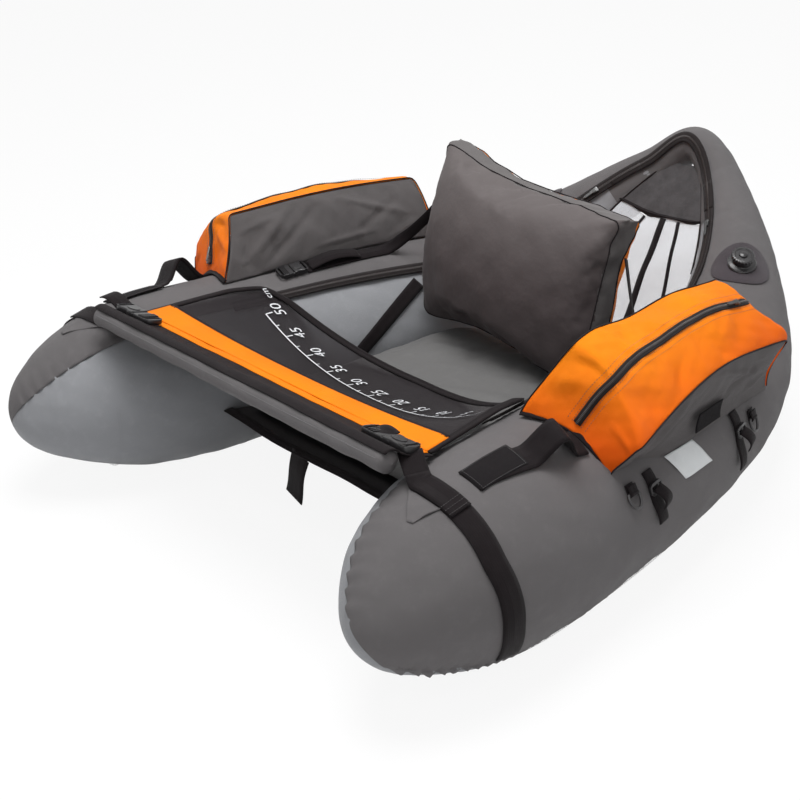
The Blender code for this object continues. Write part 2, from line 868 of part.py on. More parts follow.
# Tube straps: from each socket over the tube and down its outer side
tube_strap_width = 0.032
tube_strap_angles = (-0.42, 0.10, 1.00, 1.80, 2.25)
tube_strap_station_shares = (0.142, 0.130, 0.1175, 0.1225, 0.1335)
tube_strap_columns = 3
tube_strap_end_gap = 0.0012
tube_strap_edges = [
    column for column in range(panel_columns)
    if tube_strap_angles[0] < cover_angle(tube_strap_station_shares[1], column)
    < tube_strap_angles[-1]]
tube_strap_rows = len(tube_strap_edges) + 1

for side_name, side in SIDES:
    def tube_strap_place(across, along, side=side):
        row = round(along * tube_strap_rows)
        offset = (across - 0.5) * tube_strap_width
        if row == 0:
            tilt = (band_rear_z - band_front_z) / (band_rear - band_front)
            middle = webbing_wall / 2 + buckle_seat + buckle_thick / 2
            z = band_middle(buckle_outer, buckle_y) + middle + offset * tilt
            return Vector((side * (buckle_outer + tube_strap_end_gap), buckle_y + offset, z))
        share = tube_strap_station_shares[1]
        for _ in range(3):
            angle = tube_strap_angles[-1]
            if row < tube_strap_rows:
                angle = cover_angle(share, tube_strap_edges[row - 1])
            share = float(np.interp(angle, tube_strap_angles, tube_strap_station_shares))
            share += offset / hull_length
        return flat_point(side, share, angle, lay_gap + webbing_wall / 2)

    tube_strap = sheet(
        f"tube_strap_{side_name}", tube_strap_columns, tube_strap_rows, tube_strap_place,
        webbing_wall)
    dress(tube_strap, BLACK, 0.65)


# Rod straps: a flat pad on the tube that rises into a loop in front of each bag
rod_strap_width = 0.042
rod_strap_front_share = 0.1602
rod_strap_rise_share = 0.2368
rod_strap_fall_share = 0.3076
rod_strap_rear_share = 0.3194
rod_strap_front_angle = 0.22
rod_strap_rear_angle = 0.47
rod_strap_arch = 0.045
rod_strap_rows = 14

for side_name, side in SIDES:
    def rod_strap_place(across, along, side=side):
        share = rod_strap_front_share + along * (rod_strap_rear_share - rod_strap_front_share)
        angle = rod_strap_front_angle + along * (rod_strap_rear_angle - rod_strap_front_angle)
        step = rod_strap_width / tube_frame(share)[4]
        rise = (share - rod_strap_rise_share) / (rod_strap_fall_share - rod_strap_rise_share)
        arch = rod_strap_arch * math.sin(min(max(rise, 0.0), 1.0) * math.pi) ** 2
        lift = wrap_lift(share, step / 2, webbing_wall) + arch
        return lay_point(side, share, angle + (across - 0.5) * step, lift)

    rod_strap = sheet(
        f"rod_strap_{side_name}", 2, rod_strap_rows, rod_strap_place, webbing_wall)
    dress(rod_strap, BLACK, 0.75)


# Side bags: a grey body on each tube under an orange top with a zipper
bag_front_share = -0.1751
bag_rear_share = 0.1652
bag_front_y = bag_front_share * hull_length
bag_rear_y = bag_rear_share * hull_length
bag_front_rake = 0.035
bag_rear_rake = 0.030
bag_height = 0.088
bag_inner_angle = -0.12
bag_outer_angle = 1.03
bag_spread_angle = 0.17
bag_spread_share = 0.2
bag_top_angles = (0.13, 0.36, 0.58, 0.80, 0.93)
bag_top_height_shares = (1.0, 0.91, 0.77, 0.59, 0.32)
bag_cuts = 4
bag_steps = bag_cuts + 1
bag_rows = 3 * bag_steps
bag_top_wall = 0.0014
bag_gap = 0.0018
bag_skirt_share = 0.05
bag_zip_share = 0.42
bag_zip_width = 0.011


def bag_outer_foot(along):
    """Angle of the bag's outer lower edge, which spreads towards the stern."""
    spread = max(along - bag_spread_share, 0.0) / (1 - bag_spread_share)
    return bag_outer_angle + bag_spread_angle * spread * spread


def bag_point(side, across, along, rise, lift=0.0):
    """A point of the bag's outside: across, along and up from 0 to 1."""
    outer = bag_outer_foot(along)
    foot = bag_inner_angle + across * (outer - bag_inner_angle)
    knots = np.linspace(0.0, 1.0, len(bag_top_angles))
    head = float(np.interp(across, knots, bag_top_angles))
    height = rise * bag_height * float(np.interp(across, knots, bag_top_height_shares))
    front = bag_front_y + bag_front_rake * height / bag_height
    rear = bag_rear_y - bag_rear_rake * height / bag_height
    share = share_of(front + along * (rear - front))
    step = (bag_outer_angle + bag_spread_angle - bag_inner_angle) / bag_steps
    bed = wrap_lift(share, step, 0.0)
    return lay_point(side, share, foot + rise * (head - foot), bed + height + lift)


def bag_cover_point(side, across, path, over):
    """A point over the bag: up the front (0-1), along the top (1-2), down the rear."""
    if path < 1:
        rise = bag_skirt_share + (1 - bag_skirt_share) * path
        point = bag_point(side, across, 0.0, rise)
    elif path <= 2:
        point = bag_point(side, across, path - 1, 1.0, over)
    else:
        rise = 1 - (1 - bag_skirt_share) * (path - 2)
        point = bag_point(side, across, 1.0, rise)
    point.y += over * (1 if path >= 2 else -1 if path <= 1 else 0)
    return point


bag_top_over = bag_gap + bag_top_wall / 2
bag_zip_over = bag_top_over + bag_top_wall / 2 + bag_gap / 2 + webbing_wall / 2
bag_top_span = (bag_top_angles[-1] - bag_top_angles[0]) * (tube_radius + bag_height)
bag_zip_half_share = bag_zip_width / 2 / bag_top_span
bag_slider_over = bag_zip_over + webbing_wall / 2 + lay_gap + slider_height / 2
bag_sliders = {"left": (0.30, 0.35), "right": (1.90, 1.85)}

for side_name, side in SIDES:
    def bag_shape(a, b, c, side=side):
        return bag_point(side, (a + 1) / 2, (b + 1) / 2, (c + 1) / 2)

    def bag_top_place(across, along, side=side):
        path = round(along * bag_rows) / bag_steps
        return bag_cover_point(side, across, path, bag_top_over)

    def bag_zip_place(across, along, side=side):
        path = (1 + round(along * (bag_rows - 2))) / bag_steps
        edge = bag_zip_share + (2 * across - 1) * bag_zip_half_share
        return bag_cover_point(side, edge, path, bag_zip_over)

    bag = cage(f"bag_{side_name}", bag_cuts, bag_shape, levels=0)
    dress(bag, DARK_GREY)
    bag_top = sheet(
        f"bag_top_{side_name}", bag_steps, bag_rows, bag_top_place, bag_top_wall)
    dress(bag_top, ORANGE, 0.6)
    bag_zip = sheet(
        f"bag_zipper_{side_name}", 1, bag_rows - 2, bag_zip_place, webbing_wall)
    dress(bag_zip, BLACK, 0.6)

    parked, next_path = bag_sliders[side_name]
    inner_edge = bag_cover_point(
        side, bag_zip_share - bag_zip_half_share, parked, bag_slider_over)
    outer_edge = bag_cover_point(
        side, bag_zip_share + bag_zip_half_share, parked, bag_slider_over)
    next_edge = bag_cover_point(
        side, bag_zip_share - bag_zip_half_share, next_path, bag_slider_over)
    facing = (outer_edge - inner_edge).cross(next_edge - inner_edge)
    seat = frame_matrix((inner_edge + outer_edge) / 2, next_edge - inner_edge, facing)
    bag_slider = box(
        f"bag_zip_slider_{side_name}", (slider_length, slider_width, slider_height),
        slider_height / 4, seat)
    dress(bag_slider, STEEL, 0.3, 1.0)


# D-rings in webbing tabs on the outer side of each tube
ring_wire = 0.002
ring_half = 0.011
ring_straight = 0.006
ring_reach = 0.020
tab_wall = 0.0014
tab_width = 0.016
tab_tail = 0.010
tab_gap = 0.0006
tab_bore = ring_wire + fit_gap
tab_round = tab_bore + tab_wall
ring_place_shares = (("front", 0.3439, 1.125), ("rear", 0.6098, 1.325))


def ring_matrix(side, share, angle):
    """X up the tube's side, Y off its surface, Z along the ring's bar."""
    off = tube_normal(side, share, angle, flat_point)
    bar_way = lengthwise(side, share, angle)
    up_way = bar_way.cross(off).normalized()
    if up_way.z < 0:
        up_way.negate()
    foot = flat_point(side, share, angle) + off * (tab_round + tab_gap)
    turn = Matrix((up_way, off, up_way.cross(off))).transposed().to_4x4()
    return Matrix.Translation(foot) @ turn


def circle_points(radius, count, first=0.0, last=2 * math.pi):
    """Points along an arc, its last one left out."""
    angles = [first + (last - first) * i / count for i in range(count)]
    return [(radius * math.cos(turn), radius * math.sin(turn)) for turn in angles]


tail_meet = math.asin((tab_wall - tab_round) / tab_round)
tab_outline = [(0.0, -tab_round), (tab_tail, -tab_round), (tab_tail, tab_wall - tab_round)]
tab_outline += circle_points(tab_round, 10, tail_meet, 1.5 * math.pi)
ring_arc = [(ring_half * math.cos(t * math.pi / 8), math.sin(t * math.pi / 8)) for t in range(9)]

for side_name, side in SIDES:
    for place_name, share, angle in ring_place_shares:
        seat = ring_matrix(side, share, angle)
        tab = flat_outline(
            f"ring_tab_{place_name}_{side_name}", tab_outline, tab_width, seat,
            hole=circle_points(tab_bore, 10))
        dress(tab, BLACK, 0.7)
        ring_points = [(0.0, 0.0, -ring_half), (0.0, 0.0, ring_half)]
        for bar_offset, reach in ring_arc:
            depth = ring_straight + (ring_reach - ring_straight) * reach
            ring_points.append((-depth, 0.0, bar_offset))
        ring = tube_curve(
            f"d_ring_{place_name}_{side_name}", ring_points, ring_wire, 1, cyclic=True)
        ring.matrix_world = seat
        dress(ring, BLACK, 0.3)


# Lash straps that hang down each tube from under the bag
lash_width = 0.020
lash_hang = 0.004
lash_gap_angle = 0.005
lash_place_shares = (("front", 0.3802, 1.55), ("rear", 0.5681, 1.75))

for side_name, side in SIDES:
    for place_name, share, low_angle in lash_place_shares:
        rear_edge = (share - 0.5) * hull_length + lash_width / 2
        bag_along = (rear_edge - bag_front_y) / (bag_rear_y - bag_front_y)
        top_angle = bag_outer_foot(bag_along) + lash_gap_angle
        angles = columns_between(share, top_angle, low_angle)

        def lash_place(across, along, side=side, share=share, angles=angles):
            row = round(along * (len(angles) - 1))
            here = share + (across - 0.5) * lash_width / hull_length
            lift = lay_gap + webbing_wall / 2 + lash_hang * along * along
            return flat_point(side, here, angles[row], lift)

        lash = sheet(
            f"lash_strap_{place_name}_{side_name}", 1, len(angles) - 1, lash_place,
            webbing_wall)
        dress(lash, BLACK, 0.7)


# Apron: see-through mesh behind the front band that sags between the tubes
apron_gap = 0.0012
apron_front = band_rear + apron_gap
apron_length = 0.262
apron_lobe_length = 0.213
apron_side_inset = 0.007
apron_taper = 0.042
apron_front_half = band_half - apron_side_inset
apron_rear_half = apron_front_half - apron_taper
apron_rest_share = 0.4991
apron_rest_half = apron_rest_share * half_beam
apron_corner = 0.030
apron_corner_share = 0.8
apron_drop = 0.098
apron_columns = 12
apron_row_shares = (0.0, 0.058, 0.196, 0.34, 0.50, 0.66, 0.83, 1.0)
apron_knot_shares = (0.0, 0.061, 0.365, 0.64, 1.0)
apron_drop_shares = (0.0, 0.10, 0.57, 0.94, 1.0)
apron_sag = SmoothCurve(apron_knot_shares, [s * apron_drop for s in apron_drop_shares])
stripe_half_share = 0.985
apron_hinge_rise = 0.003


def apron_point(across, length_share, lift, width_share=1.0):
    """A point of the apron: across 0 to 1, length share from its front edge."""
    half = apron_front_half + length_share * (apron_rear_half - apron_front_half)
    rounding = max(length_share - apron_corner_share, 0.0) / (1 - apron_corner_share)
    x = (2 * across - 1) * (half - apron_corner * rounding ** 2) * width_share
    outward = min(abs(x) / apron_rest_half, 1.0)
    lobe_cut = (apron_length - apron_lobe_length) * outward ** 2 * length_share ** 3
    y = apron_front + length_share * apron_length - lobe_cut
    drop = apron_sag((y - apron_front) / apron_length) * (1 - outward ** 2)
    return Vector((x, y, rest_height(x, y, band_rear_z - drop, lay_gap + mesh_wall / 2) + lift))


def apron_place(across, along):
    row = round(along * (len(apron_row_shares) - 1))
    return apron_point(across, apron_row_shares[row], 0.0)


apron = sheet(
    "apron_mesh", apron_columns, len(apron_row_shares) - 1, apron_place, mesh_wall)
dress(apron, MESH_BLACK, 0.8)


def stripe_place(across, along):
    length_share = apron_row_shares[1 + round(along)]
    lift = mesh_wall / 2 + apron_gap + fabric_wall / 2
    return apron_point(across, length_share, lift, stripe_half_share)


stripe = sheet("apron_stripe", apron_columns, 1, stripe_place, fabric_wall)
dress(stripe, ORANGE, 0.6)
bpy.context.view_layer.update()
for piece in (apron, stripe):
    turn_about(piece, (0.0, apron_front, band_rear_z + apron_hinge_rise))


# Back straps: from a buckle on each tube up to the side of the backrest
back_strap_angle = -0.250
back_strap_width = 0.025
back_buckle_share = 0.4192
back_buckle_length = 0.046
back_buckle_width = 0.030
back_buckle_height = 0.009
back_strap_leave_share = 0.5771
back_strap_side_insets = {"left": 0.0182, "right": -0.0068}
back_strap_end_behind = 0.050
back_strap_end_rise = 0.138
back_strap_rows = 8

for side_name, side in SIDES:
    off = tube_normal(side, back_buckle_share, back_strap_angle)
    foot = lay_point(side, back_buckle_share, back_strap_angle)
    seat = frame_matrix(
        foot + off * (lay_gap + back_buckle_height / 2),
        lengthwise(side, back_buckle_share, back_strap_angle), off)
    back_buckle = box(
        f"back_buckle_{side_name}",
        (back_buckle_length, back_buckle_width, back_buckle_height), buckle_edge, seat)
    dress(back_buckle, BLACK, 0.35)

    def back_strap_place(across, along, side=side, side_name=side_name):
        lying_rows = back_strap_rows // 2
        row = round(along * back_strap_rows)
        start = back_buckle_share + (back_buckle_length / 2 + lay_gap) / hull_length
        way = min(row / lying_rows, 1.0)
        share = start + way * (back_strap_leave_share - start)
        half = (across - 0.5) * back_strap_width
        turn = half / tube_frame(share)[4]
        lift = wrap_lift(share, 2 * abs(turn), webbing_wall)
        lying = lay_point(side, share, back_strap_angle + turn, lift)
        if row <= lying_rows:
            return lying
        end_x = back_half - back_strap_side_insets[side_name]
        end_y = back_foot_y + back_strap_end_behind + half
        end = Vector((side * end_x, end_y, back_foot_z + back_strap_end_rise))
        free = (row - lying_rows) / (back_strap_rows - lying_rows)
        return lying.lerp(end, free)

    back_strap = sheet(
        f"back_strap_{side_name}", 1, back_strap_rows, back_strap_place, webbing_wall)
    dress(back_strap, BLACK, 0.65)


# Strap that hangs from the front edge of the seat sling
seat_strap_x = -0.045
seat_strap_width = 0.030
seat_strap_foot = 0.035


def seat_strap_place(across, along):
    x = seat_strap_x + (across - 0.5) * seat_strap_width
    edge = deck_point(sling_front_share, x / deck_point(sling_front_share, 1.0).x)
    y = edge.y - lay_gap - webbing_wall / 2
    return Vector((x, y, edge.z + along * (seat_strap_foot - edge.z)))


dress(sheet("seat_front_strap", 1, 3, seat_strap_place, webbing_wall), BLACK, 0.65)
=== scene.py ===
"""Dressed float tube: cloth, webbing, zips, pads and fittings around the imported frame."""

import math

import bmesh
import bpy
import numpy as np
from mathutils import Matrix, Vector
from mathutils.kdtree import KDTree


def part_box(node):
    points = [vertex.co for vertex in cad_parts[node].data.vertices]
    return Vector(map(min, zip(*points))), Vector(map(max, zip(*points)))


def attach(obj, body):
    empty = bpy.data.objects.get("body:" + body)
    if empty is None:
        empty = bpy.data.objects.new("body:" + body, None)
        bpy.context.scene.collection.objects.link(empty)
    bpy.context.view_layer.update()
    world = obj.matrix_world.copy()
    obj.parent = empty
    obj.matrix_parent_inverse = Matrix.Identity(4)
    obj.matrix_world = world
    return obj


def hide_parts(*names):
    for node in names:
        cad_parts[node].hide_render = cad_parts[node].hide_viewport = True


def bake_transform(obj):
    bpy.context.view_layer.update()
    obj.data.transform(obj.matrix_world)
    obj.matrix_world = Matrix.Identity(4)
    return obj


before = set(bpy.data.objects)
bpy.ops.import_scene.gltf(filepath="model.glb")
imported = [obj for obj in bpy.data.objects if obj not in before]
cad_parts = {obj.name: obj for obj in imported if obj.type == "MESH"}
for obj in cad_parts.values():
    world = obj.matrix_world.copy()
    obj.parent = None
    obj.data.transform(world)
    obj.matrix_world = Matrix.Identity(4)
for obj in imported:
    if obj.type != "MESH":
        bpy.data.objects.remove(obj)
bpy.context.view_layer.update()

# Camera, soft light and floor: a plain white studio sweep, seen from high on the
# tube's own left bow.
camera_turn = math.radians(48.988)
camera_height = math.radians(25.482)
camera_roll = math.radians(-3.105)
camera_reach = 2.490
camera_aim = Vector((0.0, 0.0, 0.1505))
studio_light = 0.42
floor_reach, floor_keep, floor_drop = 9.0, 0.90, 0.0004
lamp_aim = Vector((0.0, 0.0, 0.15))
LAMPS = (("top_lamp", (0.1, -0.2, 2.7), 1.6, 90.0), ("front_lamp", (2.2, -1.6, 2.0), 1.4, 17.0))


def add_object(name, data):
    """A new object in the scene."""
    made = bpy.data.objects.new(name, data)
    bpy.context.scene.collection.objects.link(made)
    return made


toward = Vector((
    math.cos(camera_height) * math.sin(camera_turn),
    -math.cos(camera_height) * math.cos(camera_turn),
    math.sin(camera_height)))
level_right = Vector((0, 0, 1)).cross(toward).normalized()
level_up = toward.cross(level_right)
view_right = level_right * math.cos(camera_roll) + level_up * math.sin(camera_roll)
view_up = level_up * math.cos(camera_roll) - level_right * math.sin(camera_roll)
camera_data = bpy.data.cameras.new("camera")
camera_data.lens, camera_data.sensor_width = 73.41, 36.0
camera_data.shift_x, camera_data.shift_y = -0.0866, -0.0349
camera = add_object("camera", camera_data)
turn = Matrix((view_right, view_up, toward)).transposed().to_4x4()
camera.matrix_world = Matrix.Translation(camera_aim + toward * camera_reach) @ turn
bpy.context.scene.camera = camera
bpy.context.scene.view_settings.view_transform = "Standard"


class Wire:
    """One value inside a node tree: arithmetic on it adds Math nodes."""

    def __init__(self, nodes, socket):
        self.nodes = nodes
        self.socket = socket

    def work(self, operation, other=0.0):
        return self.nodes.node("ShaderNodeMath", {"operation": operation}, {0: self, 1: other})

    def __add__(self, other):
        return self.work("ADD", other)

    def __mul__(self, other):
        return self.work("MULTIPLY", other)

    def size(self):
        return self.work("ABSOLUTE")

    def top(self, other):
        return self.work("MAXIMUM", other)

    def cycle(self, pitch):
        """A sine of the value with one wave for each pitch."""
        return (self * (math.tau / pitch)).work("SINE")


class Nodes:
    """A node tree, with short ways to add what varies over a surface."""

    def __init__(self, tree):
        self.tree = tree

    def plug(self, socket, value):
        if isinstance(value, Wire):
            self.tree.links.new(value.socket, socket)
        elif isinstance(value, tuple) and len(value) == 3 and socket.type == "RGBA":
            socket.default_value = (*value, 1.0)
        else:
            socket.default_value = value

    def node(self, kind, settings=None, inputs=None, output=0):
        made = self.tree.nodes.new(kind)
        for key, value in (settings or {}).items():
            setattr(made, key, value)
        for key, value in (inputs or {}).items():
            self.plug(made.inputs[key], value)
        return Wire(self, made.outputs[output])

    def place(self, kind="Object"):
        return self.node("ShaderNodeTexCoord", output=kind)

    def parts(self, vector):
        """The x, y and z of a vector."""
        split = self.node("ShaderNodeSeparateXYZ", None, {0: vector}).socket.node
        return [Wire(self, socket) for socket in split.outputs]

    def noise(self, scale, detail=3.0, roughness=0.55):
        return self.node("ShaderNodeTexNoise", None, {
            "Vector": self.place(), "Scale": scale, "Detail": detail, "Roughness": roughness})

    def mix(self, share, first, second):
        """A colour between two colours."""
        return self.node(
            "ShaderNodeMix", {"data_type": "RGBA"}, {0: share, 6: first, 7: second}, output=2)

    def between(self, value, low, high, start=0.0, end=1.0):
        """The value's way from low to high, clamped and fitted to start and end."""
        return self.node("ShaderNodeMapRange", None, {0: value, 1: low, 2: high, 3: start, 4: end})

    def white_for_camera(self, plain):
        """1 for the rays that should see a white studio, else the plain value."""
        path = self.tree.nodes.new("ShaderNodeLightPath")
        seen, glossy, through = (
            Wire(self, path.outputs[f"Is {kind} Ray"]) for kind in ("Camera", "Glossy", "Transmission"))
        return seen.top(glossy).top(through) * (1.0 - plain) + plain


class Finish(Nodes):
    """A piece's material: fixed numbers on its shader, and nodes for what varies."""

    def __init__(self, name, **fixed):
        self.material = bpy.data.materials.new(name)
        self.material.use_nodes = True
        super().__init__(self.material.node_tree)
        self.shader = self.tree.nodes["Principled BSDF"]
        for socket, value in fixed.items():
            self.shader.inputs[socket.replace("_", " ")].default_value = value

    def surface(self, colour, roughness):
        self.plug(self.shader.inputs["Base Color"], colour)
        self.plug(self.shader.inputs["Roughness"], roughness)

    def relief(self, *layers):
        """Layers of (height, depth in metres), coarse first, on the shader's normal."""
        under = None
        for height, depth in layers:
            inputs = {"Strength": 1.0, "Distance": depth, "Height": height}
            if under is not None:
                inputs["Normal"] = under
            under = self.node("ShaderNodeBump", None, inputs)
        self.plug(self.shader.inputs["Normal"], under)


def shaded(colour, factor, more=0.0):
    """A colour made darker or lighter."""
    return tuple(c * factor + more for c in colour)


world = bpy.data.worlds.new("studio")
world.use_nodes = True
bpy.context.scene.world = world
backdrop = world.node_tree.nodes["Background"]
backdrop.inputs["Color"].default_value = (1.0, 1.0, 1.0, 1.0)
sky = Nodes(world.node_tree)
sky.plug(backdrop.inputs["Strength"], sky.white_for_camera(studio_light))

floor_finish = Finish("studio_floor")
floor_finish.surface(
    floor_finish.mix(floor_finish.noise(3.0), (0.80, 0.80, 0.81), (0.84, 0.84, 0.84)), 0.9)
glow = floor_finish.node("ShaderNodeEmission")
blend = floor_finish.node("ShaderNodeMixShader", None, {
    0: floor_finish.white_for_camera(0.0) * floor_keep,
    1: Wire(floor_finish, floor_finish.shader.outputs[0]), 2: glow})
floor_finish.plug(floor_finish.tree.nodes["Material Output"].inputs["Surface"], blend)
floor_mesh = bpy.data.meshes.new("studio_floor")
floor_mesh.from_pydata(
    [(x * floor_reach, y * floor_reach, -floor_drop) for x, y in ((-1, -1), (1, -1), (1, 1), (-1, 1))],
    [], [(0, 1, 2, 3)])
floor_mesh.materials.append(floor_finish.material)
add_object("studio_floor", floor_mesh)

for lamp_name, lamp_place, lamp_size, lamp_power in LAMPS:
    lamp_data = bpy.data.lights.new(lamp_name, "AREA")
    lamp_data.size, lamp_data.energy = lamp_size, lamp_power
    lamp = add_object(lamp_name, lamp_data)
    lamp.location = lamp_place
    lamp.rotation_euler = (Vector(lamp_place) - lamp_aim).to_track_quat("Z", "Y").to_euler()


# Side tubes: woven polyester cover over the top and outside, lighter coated cloth
# under and inside, sewn along two seams, with an air bladder within each.
hull_length = 1.102
half_beam = 0.541
tube_radius = 0.1457
stern_height = 0.412
floor_flat = 0.0062
nose_length, nose_power = 0.372, 2.24
stern_round = 0.024
tube_rows, bladder_rows = 260, 120
nose_rows_share, nose_share = 0.34, 0.30
tube_hem, tube_overlap = 0.012, 0.010
pucker_pitch, pucker_height = 0.0155, 0.0026
scallop_pitch, scallop_height = 0.030, 0.0060
cloth_wall, thin_wall = 0.0012, 0.0008
bladder_gap = 0.0065
SIDES = (("left", -1), ("right", 1))


def smooth_curve(knots, values):
    """A natural cubic spline through values at rising knots, for many places at once."""
    knots, values = np.array(knots), np.array(values)
    gaps = np.diff(knots)
    slopes = np.diff(values) / gaps
    system = np.eye(len(knots))
    target = np.zeros(len(knots))
    for i in range(1, len(knots) - 1):
        system[i, i - 1:i + 2] = gaps[i - 1], 2 * (gaps[i - 1] + gaps[i]), gaps[i]
        target[i] = 6 * (slopes[i] - slopes[i - 1])
    bends = np.linalg.solve(system, target)

    def read(share):
        i = np.clip(np.searchsorted(knots, share) - 1, 0, len(knots) - 2)
        gap = knots[i + 1] - knots[i]
        after = (share - knots[i]) / gap
        before = 1 - after
        bend = (before ** 3 - before) * bends[i] + (after ** 3 - after) * bends[i + 1]
        return before * values[i] + after * values[i + 1] + bend * gap * gap / 6
    return read


station_shares = (0.0, 0.10, 0.28, 0.46, 0.64, 0.82, 0.93, 1.0)
spine_x = smooth_curve(station_shares, np.array(
    (0.780, 0.731, 0.671, 0.619, 0.536, 0.405, 0.212, 0.009)) * half_beam)
belly_z = smooth_curve(station_shares, np.array(
    (0.0, 0.0, 0.0, 0.0, 0.017, 0.209, 0.605, 0.885)) * stern_height)
full_radius = smooth_curve(station_shares, np.array(
    (0.907, 1.0, 0.951, 0.927, 0.878, 0.636, 0.328, 0.165)) * tube_radius)
seam_stations = (0.0, 0.12, 0.30, 0.65, 1.0)
inner_seam = smooth_curve(seam_stations, (-0.75, -0.60, -0.55, -0.68, -0.88))
outer_seam = smooth_curve(seam_stations, (2.39, 2.42, 2.45, 2.49, 2.53))


def unit(vectors):
    return vectors / np.linalg.norm(vectors, axis=-1, keepdims=True)


def stacked(x, y, z):
    """Points from their x, y and z."""
    return np.stack(np.broadcast_arrays(x, y, z), -1)


def spine(share):
    height = belly_z(share) - floor_flat + full_radius(share)
    return stacked(spine_x(share), (share - 0.5) * hull_length, height)


def tube_frame(share):
    """Centre, outward, up and radius of the right tube at many stations."""
    share = np.asarray(share, float)
    low, high = np.maximum(share - 0.002, 0.0), np.minimum(share + 0.002, 1.0)
    along = unit(spine(high) - spine(low))
    out = unit(np.cross(along, (0.0, 0.0, 1.0)))
    bow = np.clip(share * hull_length / nose_length, 0.0, 1.0)
    stern = np.clip((1 - share) * hull_length / stern_round, 0.0, 1.0)
    draw = (1 - (1 - bow) ** nose_power) ** (1 / nose_power) * np.sqrt(1 - (1 - stern) ** 2)
    return spine(share), out, np.cross(out, along), full_radius(share) * draw


def tube_size(share):
    return tube_frame(share)[3]


def on_tube(side, share, angle, lift=0.0):
    """Points at angles from the tube's top and heights over its surface."""
    share, angle, lift = np.broadcast_arrays(share, angle, lift)
    centre, out, up, radius = tube_frame(share)
    reach = np.maximum(radius + lift, 0.0)[..., None]
    point = centre + out * reach * np.sin(angle)[..., None] + up * reach * np.cos(angle)[..., None]
    point[..., 2] = np.maximum(point[..., 2], np.maximum(-lift, 0.0))
    point[..., 0] = np.maximum(point[..., 0], 0.0003 + np.maximum(-lift, 0.0)) * side
    return point


def off_tube(side, share, angle):
    """Outward directions of the tube's surface."""
    step = 0.003
    share, angle = np.broadcast_arrays(share, angle)
    share = np.clip(share, 0.004, 0.994)
    along = on_tube(side, share + step, angle) - on_tube(side, share - step, angle)
    outward = on_tube(side, share, angle + step) - on_tube(side, share, angle - step)
    return unit(np.cross(outward, along)) * side


def waves(seed, points, pitch, count=9):
    """Soft random swells over points in space, about -1 to 1."""
    chance = np.random.default_rng(seed)
    total = np.zeros(points.shape[:-1])
    for _ in range(count):
        way = unit(chance.normal(size=3))
        total += np.sin(points @ way * math.tau / (pitch * chance.uniform(0.6, 1.7))
                        + chance.uniform(0, math.tau))
    return total / math.sqrt(count)


def near(value, middle, width):
    """1 at the middle, falling smoothly to 0 a few widths away."""
    return np.exp(-((value - middle) / width) ** 2)


def shares_to(count, last=1.0, first=0.0):
    """Even steps down a column."""
    return np.linspace(first, last, count)[:, None]


def grid_faces(rows, columns, wrap_rows=False, wrap_columns=False):
    """Quads between rows of points, closed either way where asked."""
    index = np.arange(rows * columns).reshape(rows, columns)
    below = np.roll(index, -1, 0)
    quads = np.stack([index, np.roll(index, -1, 1), np.roll(below, -1, 1), below], -1)
    return quads[:rows if wrap_rows else -1, :columns if wrap_columns else -1].reshape(-1, 4)


def mesh_of(name, verts, faces, edges=()):
    mesh = bpy.data.meshes.new(name)
    mesh.from_pydata(np.reshape(verts, (-1, 3)).tolist(), edges, faces)
    return mesh


def add_piece(name, mesh, finish):
    """A piece's object at the origin, with one finish and smooth faces."""
    mesh.name = name
    mesh.materials.clear()
    mesh.materials.append(finish.material)
    mesh.shade_smooth()
    return add_object(name, mesh)


def dress(piece, node=None, body="hull"):
    """The body that a piece moves with, and the solid it stands for, which it hides."""
    if body:
        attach(piece, body)
    if node:
        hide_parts(node)
    return piece


def woven(name, points, finish, flip=False, wall=0.0, middle=False):
    """A cloth grid from rows of points, with its UVs in metres across and along."""
    points = np.asarray(points, float)
    rows, columns = points.shape[:2]
    faces = grid_faces(rows, columns)
    across = np.linalg.norm(np.diff(points, axis=1), axis=-1)
    along = np.linalg.norm(np.diff(points, axis=0), axis=-1)
    u = np.concatenate([np.zeros((rows, 1)), np.cumsum(across, 1)], 1)
    u -= u[:, -1:] / 2
    v = np.concatenate([[0.0], np.cumsum(along.mean(1))])
    uv = np.stack([u, np.broadcast_to(v[:, None], u.shape)], -1).reshape(-1, 2)
    if flip:
        faces = faces[:, ::-1]
    mesh = mesh_of(name, points, faces.tolist())
    mesh.uv_layers.new(name="cut").data.foreach_set("uv", uv[faces.reshape(-1)].reshape(-1))
    piece = add_piece(name, mesh, finish)
    if wall:
        thicken = piece.modifiers.new("wall", "SOLIDIFY")
        thicken.thickness = wall
        thicken.offset = 0.0 if middle else -1.0
    return piece


